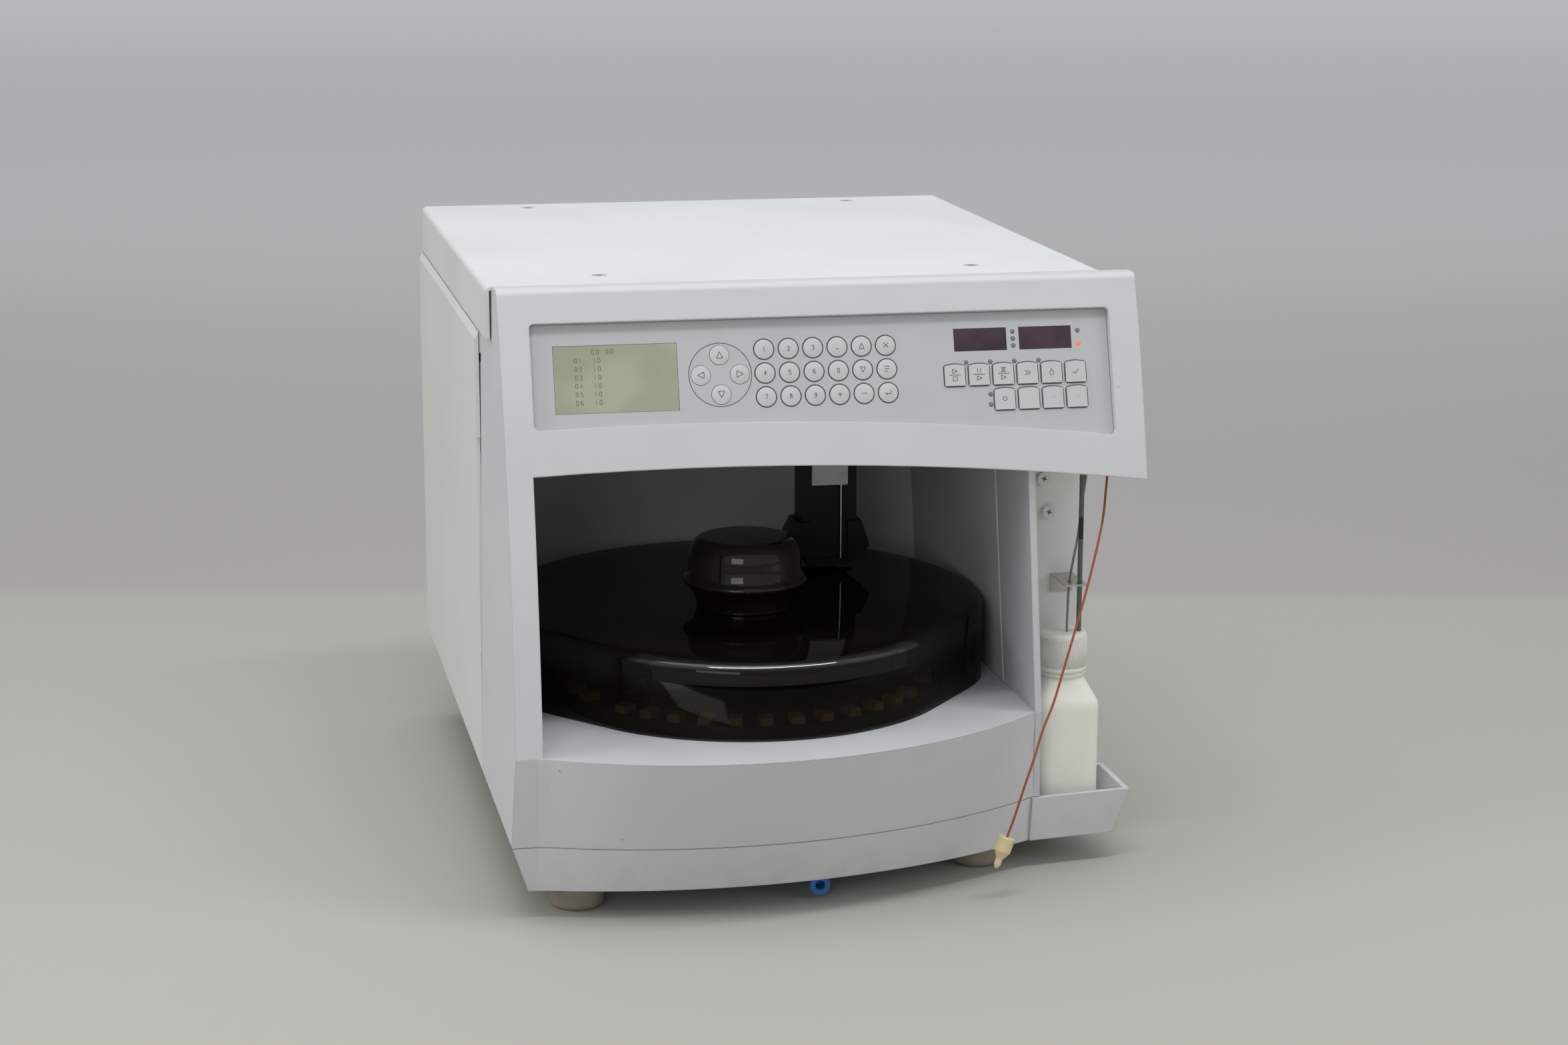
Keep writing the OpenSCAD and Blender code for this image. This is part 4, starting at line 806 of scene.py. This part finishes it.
def lensTree(settings):
    tree, given = growTree("lensOnPoints", settings)
    shape = {"Segments": 20, "Rings": 10, "Radius": given["Radius"]}
    ball = tree.node("GeometryNodeMeshUVSphere", {}, shape)
    disc = tree.node("GeometryNodeTransform", {}, {"Geometry": ball, "Scale": given["Shape"]})
    spread = tree.node("GeometryNodeInstanceOnPoints", {}, {
        "Points": given["Geometry"], "Instance": disc, "Rotation": given["Turn"]})
    return closeTree(tree, spread, given["Material"])


def lampPoint(place):
    return onPanel(place[0] * mm, place[1] * mm, -lampLook["sunk"] * mm)


panelTurn = Matrix((panelRight, panelUp, panelOut)).transposed().to_euler()
lensSettings = {"Radius": 1.35 * mm, "Shape": (1.0, 1.0, 0.35), "Turn": tuple(panelTurn),
                "Material": lampFinish("lampGrey", paint(122, 124, 128), 0.0)}
litSettings = dict(lensSettings, Material=lampFinish("lampLit", paint(255, 92, 84), 1.2))
lensGroup = lensTree(lensSettings)
lampPoints = [lampPoint(place) for place in lampLook["places"]]
litPoints = [lampPoint(lampLook["litPlace"])]
growPiece("lampLenses", lampPoints, lensGroup, lensSettings)
growPiece("lampLit", litPoints, lensGroup, litSettings)
print("display and lamps made")

# screw recesses: flat grey crosses on the screw heads, painted shade of the recesses
crossSettings = {"Long": 3.8 * mm, "Wide": 0.9 * mm, "Deep": 0.06 * mm, "Turn": (0.0, 0.0, 0.5),
                 "Material": recessGrey}
screwPlaces = {  # turn and places
    "coverScrewCrosses": ((0.0, 0.0, 0.5), [
        (x, y, 391.93) for x in (-130.75, 111.25) for y in (-116.5, 243.0)]),
    "faceScrewCrosses": ((pi / 2, 0.3, 0.0), [(166.4, -119.53, 227.0), (162.7, -119.53, 249.5)])}


def crossTree(settings):
    tree, given = growTree("crossOnPoints", settings)
    bars = tree.tree.nodes.new("GeometryNodeJoinGeometry")
    for first, second in (("Long", "Wide"), ("Wide", "Long")):
        sides = {0: given[first], 1: given[second], 2: given["Deep"]}
        size = tree.node("ShaderNodeCombineXYZ", {}, sides)
        bar = tree.node("GeometryNodeMeshCube", {}, {"Size": size})
        tree.feed(bars.inputs[0], bar)
    cross = Link(tree, bars.outputs[0])
    spread = tree.node("GeometryNodeInstanceOnPoints", {}, {
        "Points": given["Geometry"], "Instance": cross, "Rotation": given["Turn"]})
    return closeTree(tree, spread, given["Material"])


crossGroup = crossTree(crossSettings)
for name, (turn, places) in screwPlaces.items():
    points = [Vector(place) * mm for place in places]
    settings = dict(crossSettings, Turn=turn)
    growPiece(name, points, crossGroup, settings, smooth=False)
print("screw recesses made")

# wash bottle, its outline goes from a rounded square to a circle
bottleLook = {"steps": 64, "squarePower": 7.0, "roundPower": 2.0, "rows": (
    # height from the floor, share of the width, roundness from square 0 to circle 1
    (0.0, 0.86, 0.25), (0.6, 0.93, 0.15), (2.2, 0.985, 0.05), (5.0, 1.0, 0.0), (30.0, 1.0, 0.0),
    (60.0, 1.0, 0.0), (80.0, 1.0, 0.0), (84.0, 0.992, 0.02), (86.5, 0.955, 0.08),
    (89.0, 0.89, 0.2), (92.5, 0.80, 0.42), (96.0, 0.72, 0.68), (99.0, 0.665, 0.9),
    (100.5, 0.655, 1.0), (101.2, 0.715, 1.0), (103.2, 0.715, 1.0), (103.8, 0.6, 1.0),
    (108.0, 0.58, 1.0))}


def bottleMesh(name, look):
    low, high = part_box("wash_bottle")
    middle = (low + high) / 2
    half = (high - low) / 2
    mean = (half.x + half.y) / 2
    count = look["steps"]
    rings = []
    for z, share, soft in look["rows"]:
        power = look["squarePower"] + (look["roundPower"] - look["squarePower"]) * soft
        a = (half.x * (1 - soft) + mean * soft) * share
        b = (half.y * (1 - soft) + mean * soft) * share
        ring = []
        for i in range(count):
            t = 2 * pi * (i + 0.5) / count
            c = cos(t)
            s = sin(t)
            reach = (abs(c) ** power + abs(s) ** power) ** (-1 / power)
            ring.append((middle.x + a * c * reach, middle.y + b * s * reach, low.z + z * mm))
        rings.append(ring)
    return ringMesh(name, rings)


bottle = addPiece("washBottle", bottleMesh("washBottle", bottleLook), bottleMilky)
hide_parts("wash_bottle")

# cap with ribs round it
capLook = {"steps": 96, "ribs": 72, "ribR": 0.46, "ribIn": 0.75, "ribFoot": 3.0, "ribTop": 22.5,
           "rows": (
               # radius less than the cap's own, height
               (0.9, 0.0), (0.5, 0.25), (0.45, 2.2), (0.75, 2.6), (0.75, 22.8), (0.9, 24.2),
               (1.6, 25.4), (3.2, 26.0), (9.0, 26.0), (16.45, 26.0))}
capLow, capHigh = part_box("bottle_cap")
capMiddle = (capLow + capHigh) / 2
capReach = (capHigh.x - capLow.x) / 2


def capMesh(name, look):
    least = 0.05 * mm
    rows = [(max(capReach - less * mm, least), capLow.z + z * mm) for less, z in look["rows"]]
    return ringMesh(name, circleRings(capMiddle, rows, look["steps"]))


def ribTree(settings):
    tree, given = growTree("ribsRoundCap", settings)
    circle = {"Resolution": given["Ribs"], "Radius": given["Reach"]}
    ring = tree.node("GeometryNodeCurvePrimitiveCircle", {}, circle)
    post = {"Vertices": 8, "Radius": given["Wide"], "Depth": given["Tall"]}
    rib = tree.node("GeometryNodeMeshCylinder", {}, post)
    spread = tree.node("GeometryNodeInstanceOnPoints", {}, {"Points": ring, "Instance": rib})
    move = {"Geometry": spread, "Translation": given["Middle"]}
    placed = tree.node("GeometryNodeTransform", {}, move)
    return closeTree(tree, placed, given["Material"])


capPiece = addPiece("capShell", capMesh("capShell", capLook), capMilky)
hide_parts("bottle_cap")
ribMiddle = capLow.z + (capLook["ribTop"] + capLook["ribFoot"]) / 2 * mm
ribSettings = {"Ribs": capLook["ribs"], "Reach": capReach - capLook["ribIn"] * mm,
               "Wide": capLook["ribR"] * mm, "Tall": (capLook["ribTop"] - capLook["ribFoot"]) * mm,
               "Middle": (capMiddle.x, capMiddle.y, ribMiddle), "Material": capMilky}
growPiece("capRibs", [(0, 0, 0)], ribTree(ribSettings), ribSettings)
print("bottle and cap made")

# smoked cover: the same form as the solid, in finer steps
formLook = {"axis": (-31.0, -84.0, 111.5), "high": 54.0, "wall": 3.0, "round": 7.0, "nose": 137.0,
            "rear": 164.0, "rearShift": (1.5, 31.0), "flank": 50.0, "flankEnd": 80, "blend": 60.0,
            "drop": 4.0, "scoop": 40.0, "scoopLow": 5.0, "scoopDeep": 10.0, "scoopGap": 6,
            "scoopBend": 1.4, "scoopSteps": 10, "lipLow": 35.5, "lipOut": 2.0, "lipGap": 1.2,
            "lipSoft": 5, "lipEdge": ((0.9, -0.55), (0.3, -0.3), (0.0, 0.3)), "lipRise": 0.8,
            "roundSteps": 8, "topRings": (0.9, 0.8, 0.65, 0.5, 0.35, 0.2, 0.1), "steps": 300,
            "sharp": 32}


def coverPlan(look, turn):  # reach from the axis; the turn runs from the nose
    aside = abs(turn) - look["flank"]
    if aside <= 0:
        return look["nose"]
    a = radians(turn)
    x, y = look["rearShift"]
    along = x * sin(a) - y * cos(a)
    rear = along + sqrt(look["rear"] ** 2 - (x ** 2 + y ** 2) + along * along)
    flank = 2 * look["rear"]
    if aside < look["flankEnd"]:
        flank = look["nose"] / cos(radians(aside))
    return (flank ** -look["blend"] + rear ** -look["blend"]) ** (-1 / look["blend"])


def coverTop(look, y):
    return look["high"] - look["drop"] * max(0.0, -y / look["nose"]) ** 2


def coverSection(look, turn, inset):  # radius and height from the rim to the top
    plan = coverPlan(look, turn)
    r = plan - inset
    amount = max(0.0, 1 - (turn / look["scoop"]) ** 2)
    scoopEnd = look["lipLow"] - look["scoopGap"]
    low = look["scoopLow"] + (scoopEnd - look["scoopLow"]) * (1 - amount)
    outer = r + (0.0 if inset else look["lipOut"] * amount)
    bend = look["round"] - inset
    c = cos(radians(turn))
    high = coverTop(look, -plan * c) - look["round"]
    rows = [(r, 0.0)]
    if not inset:
        rows.append((r, low * 0.5))
    for i in range(look["scoopSteps"] + 1):
        share = i / look["scoopSteps"]
        back = look["scoopDeep"] * amount * share ** look["scoopBend"]
        rows.append((r - back, low + share * (look["lipLow"] - low)))
    lip = look["lipLow"] + look["lipGap"] + inset
    if not inset:  # the lip's lower edge is a little round
        edge = min(1.0, look["lipSoft"] * amount)
        rows += [(outer - back * edge, lip + up) for back, up in look["lipEdge"]]
    rows += [(outer, lip + look["lipRise"]), (outer, high)]
    for i in range(1, look["roundSteps"] + 1):
        a = radians(90 * i / look["roundSteps"])
        rows.append((outer - bend * (1 - cos(a)), high + bend * sin(a)))
    for share in look["topRings"]:
        reach = share * (outer - bend)
        rows.append((reach, coverTop(look, -reach * c) - inset))
    return rows


def loftSkin(form, look, inset):  # one skin of the cover, the inner one faces inwards
    count = look["steps"]
    x, y, z = look["axis"]
    turns = [360 * (k + 0.5) / count - 180 for k in range(count)]
    columns = []
    for turn in turns:
        c = cos(radians(turn))
        s = sin(radians(turn))
        section = coverSection(look, turn, inset)
        columns.append([((x + r * s) * mm, (y - r * c) * mm, (z + up) * mm) for r, up in section])
    rings = [[form.verts.new(place) for place in ring] for ring in zip(*columns)]
    tip = form.verts.new((x * mm, y * mm, (z + look["high"] - inset) * mm))
    faces = []
    for k in range(count):
        n = (k + 1) % count
        faces += [(low[k], low[n], high[n], high[k]) for low, high in zip(rings, rings[1:])]
        faces.append((rings[-1][k], rings[-1][n], tip))
    for corners in faces:
        form.faces.new(corners[::-1] if inset else corners)
    return rings[0]


def coverMesh(name, look):
    form = bmesh.new()
    outer = loftSkin(form, look, 0.0)
    inner = loftSkin(form, look, look["wall"])
    for k in range(look["steps"]):
        n = (k + 1) % look["steps"]
        form.faces.new((outer[n], outer[k], inner[k], inner[n]))
    return meshFrom(name, form)


slotLook = {"middle": (52.043, -4.087), "turn": 40.0, "inward": 30.0, "outward": 4.0, "r": 6.0,
            "low": 151.5, "high": 172.5}


def slotMesh(name, look):  # prism of the needle's slot
    a = radians(look["turn"])
    c = cos(a)
    s = sin(a)
    line = arcLine(look["outward"], 0.0, look["r"], -90, 180, 18)
    line += arcLine(-look["inward"], 0.0, look["r"], 90, 180, 18)
    left, front = look["middle"]
    line = [(left + x * c - y * s, front + x * s + y * c) for x, y in line]
    heights = (look["low"], look["high"])
    return ringMesh(name, [[(x * mm, y * mm, z * mm) for x, y in line] for z in heights])


def cutMesh(name, mesh, tool):  # one solid less another
    block = bpy.data.objects.new(name, mesh)
    cutter = bpy.data.objects.new(name + "Cutter", tool)
    for obj in (block, cutter):
        scene.collection.objects.link(obj)
    cut = block.modifiers.new("cut", "BOOLEAN")
    cut.operation = "DIFFERENCE"
    cut.solver = "EXACT"
    cut.object = cutter
    result = meshOf(block)
    bpy.data.objects.remove(cutter)
    return result


def sharpen(piece, angle):  # smooth faces, sharp edges where they turn more than this
    piece.data.set_sharp_from_angle(angle=radians(angle))


coverForm = coverMesh("coverForm", formLook)
coverShape = cutMesh("smokedCover", coverForm, slotMesh("slotForm", slotLook))
coverPiece = addPiece("smokedCover", coverShape, coverAcrylic, "cover")
sharpen(coverPiece, formLook["sharp"])
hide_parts("dome_cover")

# turned knob, smooth between its first and last row
knobForm = {"steps": 144, "fine": 5, "sharp": 40, "rows": (
    # radius and height above the cover
    (31.6, 0.0), (32.2, 0.5), (32.5, 3.2), (34.5, 9.2), (38.0, 14.2), (40.5, 16.2), (41.0, 17.2),
    (41.0, 18.7), (40.0, 20.4), (38.4, 22.7), (37.4, 28.2), (36.6, 36.0), (35.6, 40.0),
    (33.8, 43.3), (31.4, 45.5), (29.0, 46.4), (26.0, 46.5))}


def knobMesh(name, look, base):
    places = [(r, 0.0, z) for r, z in look["rows"]]
    first = Vector(places[0]) * mm
    last = Vector(places[-1]) * mm
    route = [first] + smoothRoute(places[1:-1], look["fine"]) + [last]
    rows = [(p.x, base.z + p.z) for p in route]
    return ringMesh(name, circleRings(base, rows, look["steps"]))


knobBase = Vector(formLook["axis"]) * mm
knobBase.z += formLook["high"] * mm
knobPiece = addPiece("knobTurned", knobMesh("knobTurned", knobForm, knobBase), knobAcrylic, "cover")
sharpen(knobPiece, knobForm["sharp"])
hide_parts("cover_knob")
print("cover and knob made")

# floor that turns into a pale wall beyond its edge, in metres from the camera
stageLook = {"floor": paint(179, 179, 171), "far": paint(171, 169, 167), "size": 14.0,
             "farthest": paint(238, 236, 236), "edge": 2.643, "edgeSoft": 0.02, "wallEnd": 6.0,
             "glow": (0.1, 0.1, 0.1, 1), "glowFrom": 5.5, "glowTo": 13.0, "rough": 0.7}


def floorFinish(name, look):
    f = Finish(name, Emission_Strength=1.0)
    yaw = radians(shot["yaw"])
    way = (sin(yaw), cos(yaw), 0.0)
    start = (Vector(shot["place"]) * mm).dot(Vector(way))
    along = f.node("ShaderNodeVectorMath", {"operation": "DOT_PRODUCT"}, {0: f.place, 1: way}, "Value")
    away = along - start
    beyond = f.ramp(away, look["edge"] - look["edgeSoft"], look["edge"] + look["edgeSoft"])
    wall = f.mix(f.ramp(away, look["edge"], look["wallEnd"]), look["far"], look["farthest"])
    near = f.mix(f.noise(500, 2) * 0.1, look["floor"], shade(look["floor"], 0.9))
    glow = f.mix(f.ramp(away, look["glowFrom"], look["glowTo"]), (0, 0, 0, 1), look["glow"])
    f.drive("Emission Color", glow)
    return f.finish(f.mix(beyond, near, wall), look["rough"])


def makeFloor(look):
    s = look["size"]
    mesh = bpy.data.meshes.new("floor")
    mesh.from_pydata([(-s, -s, 0), (s, -s, 0), (s, s, 0), (-s, s, 0)], [], [(0, 1, 2, 3)])
    mesh.materials.append(floorFinish("floorFinish", look))
    floor = bpy.data.objects.new("floor", mesh)
    scene.collection.objects.link(floor)


# world and lamps, each lamp with its place, size and power
lightLook = {"horizon": 0.12, "zenith": 0.57, "zenithAt": 0.9, "pale": 0.45,
             "colour": (0.96, 0.97, 1.0, 1), "aim": (0, 0, 0.2), "lamps": {
                 "ceilingLamp": ((-0.3, 0.1, 2.4), (2.6, 2.2), 13.0),
                 "frontLamp": ((0.2, -0.98, 2.6), (2.4, 0.2), 24.0),
                 "leftLamp": ((-2.8, -0.5, 1.5), (1.6, 1.2), 24.0),
                 "rightLamp": ((2.4, -1.6, 1.3), (1.2, 1.2), 13.5),
                 "lowLamp": ((-1.3, -2.6, 0.8), (1.2, 1.0), 8.0)},
             "unmirrored": ("leftLamp", "rightLamp")}


def makeWorld(look):
    world = bpy.data.worlds.new("softRoom")
    scene.world = world
    world.use_nodes = True
    sky = Tree(world.node_tree)
    way = sky.node("ShaderNodeTexCoord", output="Generated")
    up = sky.node("ShaderNodeSeparateXYZ", {}, {"Vector": way}, "Z")
    rise = sky.node("ShaderNodeMapRange", {"interpolation_type": "SMOOTHSTEP"}, {
        "Value": up, "From Min": 0.0, "From Max": look["zenithAt"], "To Min": look["horizon"],
        "To Max": look["zenith"]})
    seen = sky.node("ShaderNodeLightPath", output="Is Camera Ray")
    for kind in ("Is Glossy Ray", "Is Transmission Ray"):
        seen = seen.maths("MAXIMUM", seen, sky.node("ShaderNodeLightPath", output=kind))
    back = world.node_tree.nodes["Background"]
    sky.feed(back.inputs["Color"], look["colour"])
    # the room looks pale, its light stays
    sky.feed(back.inputs["Strength"], rise * (1 - seen) + seen * look["pale"])


def softLamp(name, place, size, power, look):
    data = bpy.data.lights.new(name, "AREA")
    data.shape = "RECTANGLE"
    data.size = size[0]
    data.size_y = size[1]
    data.energy = power
    lamp = bpy.data.objects.new(name, data)
    lamp.location = place
    way = Vector(look["aim"]) - Vector(place)
    lamp.rotation_euler = way.to_track_quat("-Z", "Y").to_euler()
    lamp.visible_glossy = name not in look["unmirrored"]  # fill light leaves no mirror image
    scene.collection.objects.link(lamp)


makeFloor(stageLook)
makeWorld(lightLook)
for name, (place, size, power) in lightLook["lamps"].items():
    softLamp(name, place, size, power, lightLook)
print("stage and light made")
